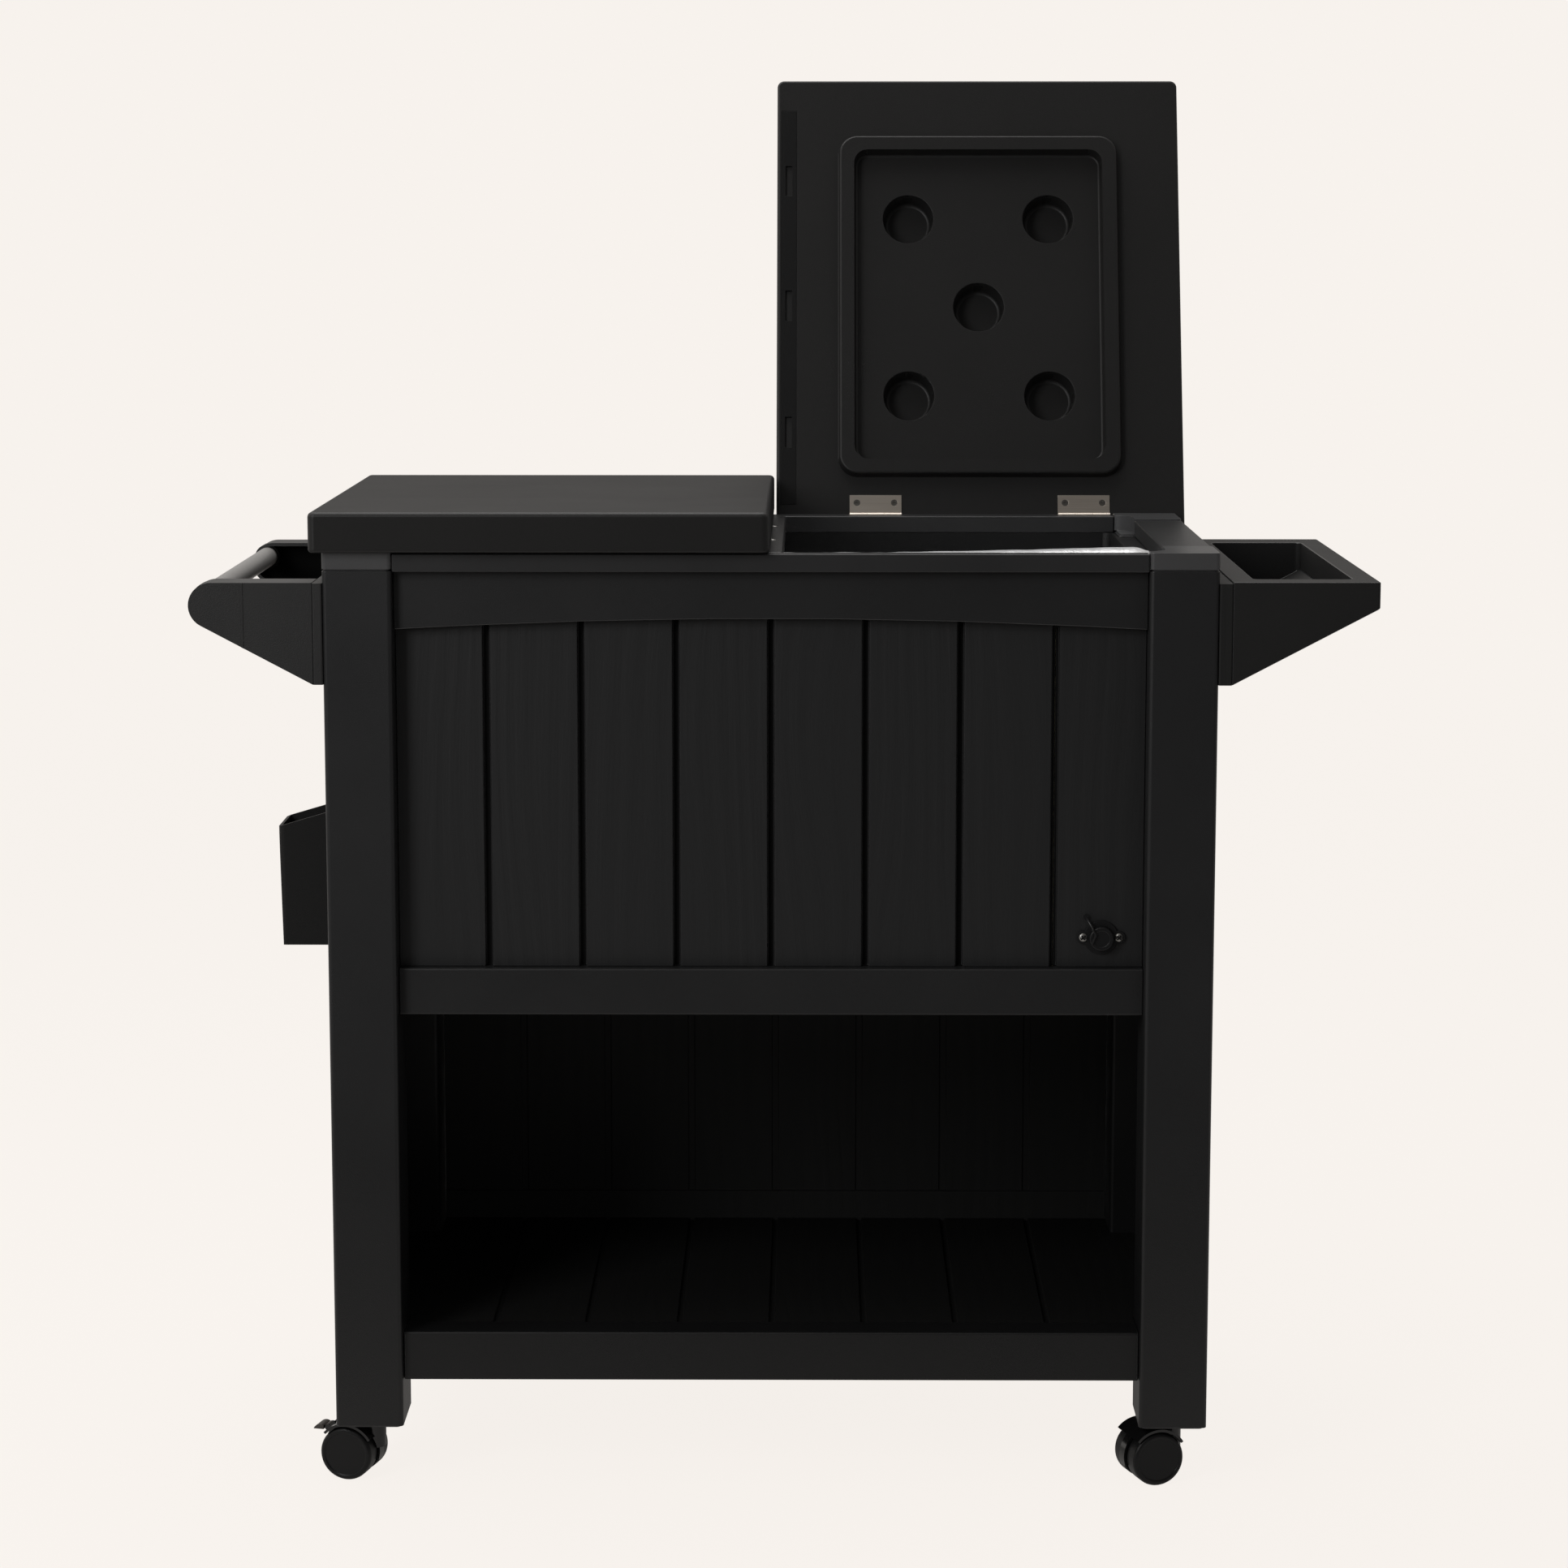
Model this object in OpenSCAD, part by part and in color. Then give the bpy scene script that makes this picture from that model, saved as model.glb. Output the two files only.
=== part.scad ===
// Portable bar: a wheeled resin cabinet with an ice tub under two flip lids,
// a push handle at the left end, a side tray at the right end and open storage below.
// Millimetres. +Z up, origin on the floor under the middle of the cabinet, front faces -Y.

/* [Cabinet] */
// Width across the outer faces of the legs
body_w = 800; // [720:10:960]
// Depth across the outer faces of the legs
body_d = 450; // [420:5:520]
// Height of the leg tops above the floor
leg_top = 847; // [800:1:900]
// Width of a leg, seen from the front
leg_w = 62; // [54:1:70]
// Depth of a leg, seen from the side
leg_d = 74; // [66:1:84]
// Wall of the hollow legs
leg_wall = 4; // [3:0.5:5]
// Radius of the upright edges of the legs
leg_r = 4; // [2:0.5:6]

/* [Top rim] */
// Height of the corner caps on the legs
cap_h = 16.5; // [12:0.5:20]
// Height of the shadow line under the corner caps
cap_seam = 1.5; // [1:0.5:3]
// Step from the corner caps down to the rim bars
rim_step = 1.2; // [0.5:0.1:2]
// Distance from the front or back face to the mouth of the tub
rim_front = 20; // [18:1:30]
// Distance from the end face to the mouth of the tub
rim_side = 46; // [40:1:60]
// Corner radius of the mouth
rim_r = 20; // [12:1:30]
// Edge radius of the rim bars
rim_edge = 1.5; // [0.5:0.1:3]

/* [Panels] */
// Pitch of the planks
plank_pitch = 85.4; // [60:0.1:110]
// Width of a groove between planks
groove_w = 6.5; // [4:0.5:9]
// Depth of a groove between planks
groove_depth = 6; // [2:0.5:6]
// Thickness of the plank boards
panel_t = 9; // [8:0.5:14]
// Recess of the front planks behind the leg faces
front_recess = 26; // [20:1:30]
// Recess of the end planks behind the leg faces
side_recess = 12; // [8:1:20]
// Recess of the back planks behind the leg faces
rear_recess = 5; // [5:0.5:8]
// Stand of the moulded rails proud of the end and back planks
rail_proud = 4; // [2:0.5:4.5]
// Height of a rail
rail_h = 43; // [30:1:60]
// Edge radius of the front rails
rail_edge = 2; // [0.5:0.5:4]
// Rise of the arch under the front top rail
arch_rise = 9.7; // [4:0.1:20]

/* [Storage] */
// Height of the shelf rail's lower edge above the floor
shelf_z = 99.5; // [90:0.5:140]
// Depth of the shelf's front rail
shelf_rail_d = 36; // [24:1:50]
// Thickness of the shelf floor
shelf_t = 8; // [6:0.5:12]
// Height of the storage ceiling above the floor
deck_z = 441; // [380:1:500]
// Thickness of the deck under the tub
deck_t = 9; // [6:0.5:14]

/* [Ice tub] */
// Wall of the tub
tub_wall = 3.5; // [2.5:0.5:5]
// Insulation between the deck and the floor of the tub
foam_floor = 24; // [15:1:40]
// Gap between the end walls of the tub and the legs
tub_gap = 0.5; // [0.4:0.1:20]
// Distance from the front face of the cabinet to the inside of the tub
tub_front = 52; // [48:1:70]
// Distance from the back face of the cabinet to the inside of the tub
tub_rear = 26; // [25:1:34]
// Corner radius of the tub
tub_r = 8; // [4:1:20]
// Thickness of the divider's upright web
divider_t = 8; // [6:1:14]
// Width of the bar along the top of the divider
divider_bar = 22; // [20:1:50]
// Distance between the two screws of the divider's bar
divider_screws = 153; // [100:1:240]
// Gap under the divider that lets melt water reach the drain
divider_gap = 20; // [10:1:40]
// Thickness of the soft liners
liner_t = 2; // [1.5:0.5:3]
// Drop of the liners' edge behind their front lip
liner_drop = 31; // [10:1:60]

/* [Lids] */
// Thickness of a lid
lid_h = 36; // [30:1:44]
// Overhang of the lids past the front faces of the legs
lid_front = 10; // [6:1:20]
// Overhang of the lids past the back faces of the legs
lid_rear = 25; // [18:0.5:26]
// Overhang of the lids past the ends of the cabinet
lid_side = 11; // [5:1:20]
// Gap between the two lids
lid_gap = 2; // [2:0.5:6]
// Corner radius of a lid in plan
lid_r = 7; // [7:1:20]
// Edge radius around the top face
lid_edge = 4.5; // [2:0.5:6]
// Edge radius around the underside
lid_under = 3; // [1:0.5:4]
// Angle of an open lid from closed
lid_open = 110; // [95:1:110]
// Margin from the lid's edge to the raised plug on its underside
plug_margin = 62; // [58:1:80]
// Height of the plug
plug_h = 10; // [6:1:14]
// Corner radius of the plug
plug_r = 20; // [14:1:30]
// Width of the plug's ring around its recess
plug_ring = 18; // [12:1:26]
// Depth of the recess below the underside of the lid
recess_in = 4; // [2:0.5:8]
// Draft of the plug and its recess, per side
plug_draft = 1.5; // [0.5:0.5:3]
// Mouth diameter of a cup recess
cup_d = 52; // [44:1:60]
// Depth of a cup recess
cup_depth = 22; // [14:1:24]
// Distance between cup centres along the lid's width
cup_px = 142.5; // [120:0.5:160]
// Distance between cup centres along the lid's depth
cup_py = 188; // [160:1:220]

/* [Hinges] */
// Width of a hinge leaf
leaf_w = 52; // [40:1:64]
// Reach of the lid's leaf from the hinge axis
leaf_reach = 22; // [18:1:26]
// Thickness of a leaf
leaf_t = 1.4; // [1:0.1:1.6]
// Outer radius of a hinge knuckle
knuckle_r = 3.1; // [2.8:0.1:3.2]
// Radius of a hinge pin
pin_r = 1.5; // [1.2:0.1:1.8]
// Distance of the hinge axis behind the back face of the cabinet
hinge_back = 4.2; // [4:0.1:4.4]
// Distance of the hinge axis below the underside of a lid
hinge_drop = 3.5; // [3.4:0.1:4]
// Distance from a leg to the leaf of the hinge beside it
hinge_in = 2.25; // [1:0.25:20]
// Distance from the middle of the cabinet to the other hinge of a lid
hinge_mid = 100.75; // [60:0.25:130]
// Distance between the two screws of a leaf
leaf_screws = 37.4; // [28:0.1:44]

/* [Handle end] */
// Thickness of the mounting board under the handle
handle_board = 9; // [5:0.5:12]
// Height of the mounting boards' top edges above the floor
board_top = 836; // [800:1:842]
// Height of the mounting boards
board_h = 91; // [80:1:110]
// Radius of the mounting boards' upright edges
board_r = 1.5; // [0.5:0.5:2.4]
// Distance from the leg faces to the round end's axis
handle_reach = 99; // [80:1:120]
// Radius of the round end of a handle bracket
bracket_r = 20.5; // [18:0.5:26]
// Thickness of a handle bracket
bracket_t = 40; // [28:1:50]
// Diameter of the handle tube
bar_d = 19; // [16:0.5:22]
// Offset of the tube from the round end's axis, outward
bar_out = 6; // [0:0.5:7]
// Offset of the tube from the round end's axis, upward
bar_up = 6.5; // [0:0.5:7]

/* [Tray end] */
// Thickness of the mounting board behind the tray
tray_board = 12; // [8:0.5:16]
// Width of the tray
tray_w = 131; // [100:1:180]
// Height of the tray's outer edge
tray_lip = 23.5; // [16:0.5:40]
// Width of the tray's rim beside the pocket
tray_rim = 21; // [14:1:30]
// Distance from the front of the tray to its pocket
tray_rim_front = 31; // [16:1:50]
// Distance from the back of the tray to its pocket
tray_rim_rear = 40; // [16:1:50]
// Radius of the tray's outer corners
tray_r = 3; // [1:0.5:8]
// Thickness of the tray under its sloping pocket
tray_floor = 8; // [6:1:18]

/* [Cap catcher] */
// Width of the catcher
catch_w = 67.5; // [50:0.5:90]
// Depth of the catcher at its mouth
catch_d = 77; // [60:1:90]
// Height of the catcher's front wall
catch_h = 114; // [80:1:140]
// Height of the catcher's foot above the floor
catch_z = 472; // [440:1:560]
// Wall of the catcher
catch_wall = 3; // [2:0.5:4]
// Slope of the catcher's mouth
catch_slope = 16.5; // [5:0.5:30]

/* [Drain] */
// Distance from the right front leg to the drain
drain_in = 38.3; // [30:0.1:80]
// Height of the drain above the floor
drain_z = 511.8; // [506.8:1:560.8]
// Diameter of the drain plug's knob
plug_knob_d = 22.4; // [20:0.2:26]
// Inside diameter of the drain spout
spout_d = 15; // [10:0.5:16]
// Distance between the two screws of the drain plate
drain_screws_span = 32.5; // [28:0.5:44]

/* [Casters] */
// Diameter of a caster wheel
wheel_d = 50; // [40:1:60]
// Width over the two wheels of a caster
caster_w = 48; // [40:1:54]
// Width of the hood's web between the wheels
web_t = 10.6; // [8:0.2:12]
// Trail of the wheel axle behind the swivel axis
trail = 20; // [16:1:20]
// Distance of the swivel axis from the end face of the cabinet
caster_in = 31; // [31:1:38]
// Radius of the caster stem
stem_r = 5.5; // [4.5:0.5:6.5]
// Length of the stem inside its socket
stem_len = 25; // [18:1:32]

/* [Hidden] */
$fn = 64;

resin = "#2f2f31";      // moulded body resin
resin_lid = "#4a4745";  // lids, a warmer grey
steel = "#a9abad";
tube_grey = "#96928d";
soft_black = "#1b1b1c";

clear = 0.3;            // gap left between pieces that only rest beside each other
running = 0.05;         // radial gap of a turning fit
eps = 0.01;

x_end = body_w / 2;     // outer face of the legs at either end
y_front = -body_d / 2;
y_back = body_d / 2;
x_leg = x_end - leg_w;  // inner face of a leg

// Heights
socket_lip = 1.5;
leg_z = wheel_d + 8;                    // open leg ends
cap_z = leg_top;
cap_top = cap_z + cap_h;
rim_z = leg_top - 1;
rim_top = cap_top - rim_step;
lid_z = cap_top + 0.5;
flange_t = 3;                           // flange of the tub
flange_z = rim_z - flange_t;
deck_top = deck_z + deck_t;
tub_bottom = deck_top + foam_floor + clear;
tub_floor = tub_bottom + tub_wall;
lower_rail_top = deck_z + rail_h;
top_rail_z = rim_z - rail_h;
shelf_rail_top = shelf_z + rail_h + 2.5;
shelf_top = shelf_rail_top - 3;         // the shelf lies just below its rail

// Depths of the boards
front_face = y_front + front_recess;
front_back = front_face + panel_t;      // inner face of the front planks
front_rail_face = y_front + 16;         // face of the lower rail
apron_face = y_front + 14;              // face of the arched top rail
rear_face = y_back - rear_recess;
rear_inner = rear_face - panel_t;
x_board = x_end - side_recess;          // outer face of an end panel's planks
x_board_in = x_board - panel_t;
shelf_rail_y = y_front + 10;
drain_x = x_leg - drain_in;
foot_rail_in = 4;                       // the back panel's foot rail stands into the storage
foot_rail_top = shelf_top + 28;

// Mouth of the tub and its inside
mouth_x = x_end - rim_side;
mouth_y0 = y_front + rim_front;
mouth_y1 = y_back - tub_rear;
tub_x = x_leg - tub_wall - tub_gap;
tub_y0 = y_front + tub_front;
tub_y1 = y_back - tub_rear;

// Lids
lid_w = (body_w + 2 * lid_side - lid_gap) / 2;
lid_y0 = y_front - lid_front;
lid_y1 = y_back + lid_rear;
lid_d = lid_y1 - lid_y0;
lid_yc = (lid_y0 + lid_y1) / 2;
lid_xc = lid_gap / 2 + lid_w / 2;       // middle of the right lid
hinge_y = y_back + hinge_back;
hinge_z = lid_z - hinge_drop;
leaf_screw_z = rim_z + 6.5;             // screws of the leaf on the rim
plug_w = lid_w - 2 * plug_margin;
plug_d = lid_d - 2 * plug_margin;
cup_floor_d = cup_d - 5;                // cups narrow towards their floor
cup_fillet = 4;
strip_in = 4;                           // from the lid's left edge to the strip
strip_w = 16;
strip_t = 2.6;
strip_end = 33;                         // from the front edge of the lid to the strip
slot_w = 6.6;
slot_len = 32;
slot_pitch = 133.5;

// Handle and tray
board_z = board_top - board_h;
handle_x = -x_end - handle_reach;
handle_z = board_top + 0.5 - bracket_r;
bar_x = handle_x - bar_out;
bar_z = handle_z + bar_up;
bar_seat = 14;                          // length of the tube inside each bracket
handle_screw_y = y_back - leg_d + 10;
tray_x0 = x_end + tray_board;
tray_x1 = tray_x0 + tray_w;
tray_top = board_top + 1.5;

// Casters: swivel angle of each at rest, as they came to stand
turn_fl = -15;
turn_fr = 19;
turn_rl = -34;
turn_rr = 41;
caster_y = leg_d / 2;
axle_z = wheel_d / 2;
axle_r = 3;
hood_in = wheel_d / 2 + 1.3;
hood_out = hood_in + 2.4;
column_r = 11;
column_top = leg_z - socket_lip - clear;
lever_angle = 142;                      // where the brake lever sits round the hood
lever_arm = 30.2;
lever_pin_r = 1.8;

// ---------- shapes ----------

// Rectangle with round corners, centred
module round_rect(w, d, r) {
    square([w - 2 * r, d], center = true);
    square([w, d - 2 * r], center = true);
    for (sx = [-1, 1], sy = [-1, 1])
        translate([sx * (w / 2 - r), sy * (d / 2 - r)]) circle(r = r);
}

// Upright box between two corners
module box(x0, x1, y0, y1, z0, z1) {
    translate([x0, y0, z0]) cube([x1 - x0, y1 - y0, z1 - z0]);
}

// Bar along X, its long edges rounded
module bar_along_x(x0, x1, y0, y1, z0, z1, r) {
    translate([x0, (y0 + y1) / 2, (z0 + z1) / 2]) rotate([90, 0, 90])
        linear_extrude(height = x1 - x0) round_rect(y1 - y0, z1 - z0, r);
}

// Bar along Y, its long edges rounded
module bar_along_y(x0, x1, y0, y1, z0, z1, r) {
    translate([(x0 + x1) / 2, y1, (z0 + z1) / 2]) rotate([90, 0, 0])
        linear_extrude(height = y1 - y0) round_rect(x1 - x0, z1 - z0, r);
}

// Upright board, its upright edges rounded
module board(x0, x1, y0, y1, z0, z1, r) {
    translate([(x0 + x1) / 2, (y0 + y1) / 2, z0])
        linear_extrude(height = z1 - z0) round_rect(x1 - x0, y1 - y0, r);
}

module quarter(r) {
    intersection() {
        circle(r = r);
        square(r + 1);
    }
}

// Edge profile of a slab with round upper and lower edges
module slab_edge(r, h, top, under) {
    square([r - under, h / 2]);
    translate([0, h / 2]) square([r - top, h / 2]);
    translate([0, under]) square([r, h - under - top]);
    translate([r - under, under]) mirror([0, 1]) quarter(under);
    translate([r - top, h - top]) quarter(top);
}

// Slab with round corners and round edges, its underside at z = 0
module slab(w, d, h, r, top, under) {
    for (sx = [0, 1], sy = [0, 1]) mirror([sx, 0, 0]) mirror([0, sy, 0])
        translate([w / 2 - r, d / 2 - r, 0]) rotate_extrude(angle = 90) slab_edge(r, h, top, under);
    // the two arms of the cross between the corners
    rotate([90, 0, 0]) linear_extrude(height = d - 2 * r, center = true)
        for (s = [0, 1]) mirror([s, 0]) {
            square([w / 2 - r, h]);
            translate([w / 2 - r, 0]) slab_edge(r, h, top, under);
        }
    rotate([90, 0, 90]) linear_extrude(height = w - 2 * r, center = true)
        for (s = [0, 1]) mirror([s, 0]) {
            square([d / 2 - r, h]);
            translate([d / 2 - r, 0]) slab_edge(r, h, top, under);
        }
}

// Edge profile with draft, widest at v = 0, with a soft far edge
module draft_edge(r, h, draft, soft) {
    polygon([[0, 0], [r, 0], [r - draft, h - soft], [r - draft - soft, h], [0, h]]);
    translate([r - draft - soft, h - soft]) circle(r = soft);
}

// Block with draft, standing on its widest face at z = 0
module drafted(w, d, h, r, draft, soft) {
    for (sx = [0, 1], sy = [0, 1]) mirror([sx, 0, 0]) mirror([0, sy, 0])
        translate([w / 2 - r, d / 2 - r, 0]) rotate_extrude(angle = 90) draft_edge(r, h, draft, soft);
    rotate([90, 0, 0]) linear_extrude(height = d - 2 * r, center = true)
        for (s = [0, 1]) mirror([s, 0]) {
            square([w / 2 - r, h]);
            translate([w / 2 - r, 0]) draft_edge(r, h, draft, soft);
        }
    rotate([90, 0, 90]) linear_extrude(height = w - 2 * r, center = true)
        for (s = [0, 1]) mirror([s, 0]) {
            square([d / 2 - r, h]);
            translate([d / 2 - r, 0]) draft_edge(r, h, draft, soft);
        }
}

// Pan head screw with a cross recess; its head stands on z = 0 and its shank runs down
module screw(head_d, head_h, shank_d, shank) {
    difference() {
        union() {
            cylinder(d = head_d, h = head_h * 0.55);
            translate([0, 0, head_h * 0.55])
                cylinder(d1 = head_d, d2 = head_d * 0.6, h = head_h * 0.45);
            translate([0, 0, -shank]) cylinder(d = shank_d, h = shank + eps);
        }
        for (a = [0, 90]) rotate(a)
            translate([-head_d * 0.28, -0.5, head_h * 0.5]) cube([head_d * 0.56, 1, head_h]);
    }
}

// Grooves between planks across a field of width w that is centred on x = 0. The cuts run
// from z0 to z1 and from the face at y = 0 into +y.
module grooves(w, z0, z1) {
    n = floor((w / 2 - groove_w) / plank_pitch);
    for (k = [-n : n])
        translate([k * plank_pitch - groove_w / 2, -eps, z0]) cube([groove_w, groove_depth + eps, z1 - z0]);
}

// The four legs' outlines, grown by a gap: what the boards are notched round
module leg_outlines(gap) {
    for (sx = [-1, 1], sy = [-1, 1])
        translate([sx * (x_end - leg_w / 2), sy * (y_back - leg_d / 2)])
            square([leg_w + 2 * gap, leg_d + 2 * gap], center = true);
}

// ---------- legs, caps and rim ----------

module leg(sx, sy) {
    color(resin) translate([sx * (x_end - leg_w / 2), sy * (y_back - leg_d / 2), 0])
        difference() {
            translate([0, 0, leg_z]) linear_extrude(height = leg_top - leg_z) difference() {
                round_rect(leg_w, leg_d, leg_r);
                square([leg_w - 2 * leg_wall, leg_d - 2 * leg_wall], center = true);
            }
            // vent slot low on the inner face
            translate([-sx * leg_w / 2, 0, leg_z + 44]) cube([3 * leg_wall, 4, 13], center = true);
        }
}

module mouth_outline(gap) {
    translate([0, (mouth_y0 + mouth_y1) / 2])
        round_rect(2 * mouth_x + 2 * gap, mouth_y1 - mouth_y0 + 2 * gap, rim_r + gap);
}

module cap(sx, sy) {
    color(resin) {
        // plug that holds the cap in the leg, and the plate that closes the leg
        translate([sx * (x_end - leg_w / 2), sy * (y_back - leg_d / 2), 0]) {
            translate([0, 0, cap_z - 10]) linear_extrude(height = 10 + eps)
                square([leg_w - 2 * leg_wall - 2 * clear, leg_d - 2 * leg_wall - 2 * clear], center = true);
            translate([0, 0, cap_z]) linear_extrude(height = cap_seam)
                round_rect(leg_w - 4, leg_d - 4, leg_r);
        }
        difference() {
            translate([sx * (x_end - leg_w / 2), sy * (y_back - leg_d / 2), cap_z + cap_seam])
                linear_extrude(height = cap_h - cap_seam) round_rect(leg_w, leg_d, leg_r);
            translate([0, 0, cap_z]) linear_extrude(height = cap_h + 1) mouth_outline(0);
        }
    }
}

module rim_bar_front() {
    color(resin) bar_along_x(-x_leg + clear, x_leg - clear, y_front + 2, mouth_y0, rim_z, rim_top, rim_edge);
}

module rim_bar_rear() {
    color(resin) bar_along_x(-x_leg + clear, x_leg - clear, mouth_y1, y_back, rim_z, rim_top, rim_edge);
}

module rim_bar_end(sx) {
    reach = y_back - leg_d - clear;
    color(resin) translate([sx * (mouth_x + x_end) / 2, 0, 0])
        bar_along_y(-rim_side / 2, rim_side / 2, -reach, reach, rim_z, rim_top, rim_edge);
}

// ---------- tub ----------

module tub_outline(grow) {
    translate([0, (tub_y0 + tub_y1) / 2])
        round_rect(2 * tub_x + 2 * grow, tub_y1 - tub_y0 + 2 * grow, tub_r + max(grow, 0));
}

module drain_hole(d) {
    translate([drain_x, y_front, drain_z]) rotate([-90, 0, 0]) cylinder(d = d, h = tub_front + 10);
}

module tub_shell() {
    color(resin) difference() {
        union() {
            translate([0, 0, tub_bottom]) linear_extrude(height = rim_z - tub_bottom) tub_outline(tub_wall);
            translate([0, 0, flange_z]) linear_extrude(height = flange_t) difference() {
                translate([-x_board_in + clear, front_back - panel_t + clear])
                    square([2 * (x_board_in - clear), rear_inner - front_back + panel_t - 2 * clear]);
                leg_outlines(clear);
            }
        }
        translate([0, 0, tub_floor]) linear_extrude(height = rim_z) tub_outline(0);
        drain_hole(spout_d + 2 * 2.5);
    }
}

module foam_jacket() {
    color("#d8cfa8") difference() {
        translate([0, 0, deck_top + clear])
            linear_extrude(height = flange_z - deck_top - 2 * clear) difference() {
                translate([-x_board_in + clear, front_back + clear])
                    square([2 * (x_board_in - clear), rear_inner - front_back - 2 * clear]);
                leg_outlines(clear);
            }
        translate([0, 0, tub_bottom - clear]) linear_extrude(height = rim_z) tub_outline(tub_wall + clear);
        drain_hole(spout_d + 2 * 2.5 + 2 * clear);
    }
}

module divider_panel() {
    color(resin) {
        bar_along_y(-divider_bar / 2, divider_bar / 2, mouth_y0 + clear, mouth_y1 - clear,
                    rim_z, rim_top, rim_edge);
        box(-divider_t / 2, divider_t / 2, tub_y0 + clear, tub_y1 - clear,
            tub_floor + divider_gap, rim_z + eps);
    }
}

// Soft foil-faced liner of one half: a bag with a lip that stands up behind the front rim
module liner_bag() {
    x0 = divider_t / 2 + clear;
    x1 = tub_x - clear;
    y0 = tub_y0 + clear;
    y1 = tub_y1 - clear;
    lip_x0 = divider_bar / 2 + clear;
    color("#c9c9c6") difference() {
        union() {
            translate([(x0 + x1) / 2, (y0 + y1) / 2, tub_floor + clear])
                linear_extrude(height = rim_z - tub_floor) round_rect(x1 - x0, y1 - y0, tub_r);
            box(lip_x0, x1, mouth_y0 + clear, y0 + 20, rim_z + clear, rim_z + clear + liner_t);
            box(lip_x0, x1, mouth_y0 + clear, mouth_y0 + clear + liner_t, rim_z + clear, rim_top);
        }
        translate([(x0 + x1) / 2, (y0 + y1) / 2, tub_floor + clear + liner_t])
            linear_extrude(height = rim_z)
                round_rect(x1 - x0 - 2 * liner_t, y1 - y0 - 2 * liner_t, tub_r - liner_t);
        box(-eps, lip_x0, y_front, y_back, rim_z, rim_top + 1);
        // behind the lip its edge drops below the rim
        rotate([90, 0, 90]) linear_extrude(height = x_end)
            polygon([[y0 + 20, rim_z], [y0 + 60, rim_z - liner_drop], [y1 + 1, rim_z - liner_drop],
                     [y1 + 1, rim_top], [y0 + 20, rim_top]]);
        drain_hole(spout_d + 4);
    }
}

// ---------- panels ----------

// The front board is in two pieces that meet behind a groove: the planks from the left, and
// the end plank with the hole that the drain's spout goes through
board_hole_d = spout_d + 2 * 2.5 + 4;
board_joint = plank_pitch * floor((drain_x - board_hole_d / 2 - 2) / plank_pitch);

module front_plank_board(x0, x1) {
    color(resin) difference() {
        box(x0, x1, front_face, front_back, lower_rail_top, flange_z);
        translate([0, front_face, 0]) grooves(2 * x_leg, lower_rail_top - 1, flange_z + 1);
        drain_hole(board_hole_d);
    }
}

module front_arched_rail() {
    span = x_leg - clear;
    arch_r = (span * span + arch_rise * arch_rise) / (2 * arch_rise);
    end_z = top_rail_z - arch_rise;
    color(resin) difference() {
        box(-span, span, apron_face, front_face, end_z, rim_z);
        translate([0, apron_face - 1, top_rail_z - arch_r]) rotate([-90, 0, 0])
            cylinder(r = arch_r, h = front_face - apron_face + 2, $fn = 720);
    }
}

module front_rail() {
    color(resin)
        bar_along_x(-x_leg + clear, x_leg - clear, front_rail_face, front_back,
                    deck_z, lower_rail_top, rail_edge);
}

// Full-height moulded panel of width w, standing on z = z0 with its planks' face at y = 0
// and its inner face at y = panel_t. Its rails stand proud of the planks.
module rail_and_plank_panel(w, z0, z1) {
    difference() {
        union() {
            box(-w / 2, w / 2, 0, panel_t, z0, z1);
            for (zr = [[z0, shelf_rail_top], [deck_z, lower_rail_top], [top_rail_z, z1]])
                box(-w / 2, w / 2, -rail_proud, eps, zr[0], zr[1]);
        }
        grooves(w, shelf_rail_top, deck_z);
        grooves(w, lower_rail_top, top_rail_z);
        // the storage side shows the same planks
        translate([0, panel_t, 0]) mirror([0, 1, 0]) intersection() {
            grooves(w, foot_rail_top, deck_z - 2);
            box(-w, w, -1, 1.5, z0, z1);
        }
    }
}

module back_panel() {
    color(resin) {
        translate([0, rear_face, 0]) rotate([0, 0, 180]) {
            rail_and_plank_panel(2 * x_leg - 2 * clear, shelf_z, rim_z);
        }
        // foot rail on the storage side
        box(-x_leg + clear, x_leg - clear, rear_inner - foot_rail_in, rear_inner + eps,
            shelf_z, foot_rail_top);
    }
}

module end_panel(sx) {
    color(resin) translate([sx * x_board, 0, 0]) rotate([0, 0, sx > 0 ? 90 : -90])
        rail_and_plank_panel(body_d - 2 * leg_d - 2 * clear, shelf_z, rim_z);
}

module deck_board() {
    color(resin) translate([0, 0, deck_z]) linear_extrude(height = deck_t) difference() {
        translate([-x_board_in + clear, front_back + clear])
            square([2 * (x_board_in - clear), rear_inner - front_back - 2 * clear]);
        leg_outlines(clear);
    }
}

module shelf_board() {
    y0 = shelf_rail_y + shelf_rail_d + clear;
    y1 = rear_inner - foot_rail_in - clear;
    n = floor((x_leg - groove_w) / plank_pitch);
    color(resin) difference() {
        translate([0, 0, shelf_top - shelf_t]) linear_extrude(height = shelf_t) difference() {
            translate([-x_board_in + clear, y0]) square([2 * (x_board_in - clear), y1 - y0]);
            leg_outlines(clear);
        }
        for (k = [-n : n])
            translate([k * plank_pitch - 2.5, y0 - 1, shelf_top - 2.5]) cube([5, y1 - y0 + 2, 3]);
    }
}

module shelf_front_rail() {
    wall = 4;
    color(resin) difference() {
        bar_along_x(-x_leg + clear, x_leg - clear, shelf_rail_y, shelf_rail_y + shelf_rail_d,
                    shelf_z, shelf_rail_top, rail_edge);
        box(-x_leg + clear + wall, x_leg - clear - wall, shelf_rail_y + wall,
            shelf_rail_y + shelf_rail_d - wall, shelf_z - 1, shelf_rail_top - wall);
    }
}

// ---------- tray end ----------

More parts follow.
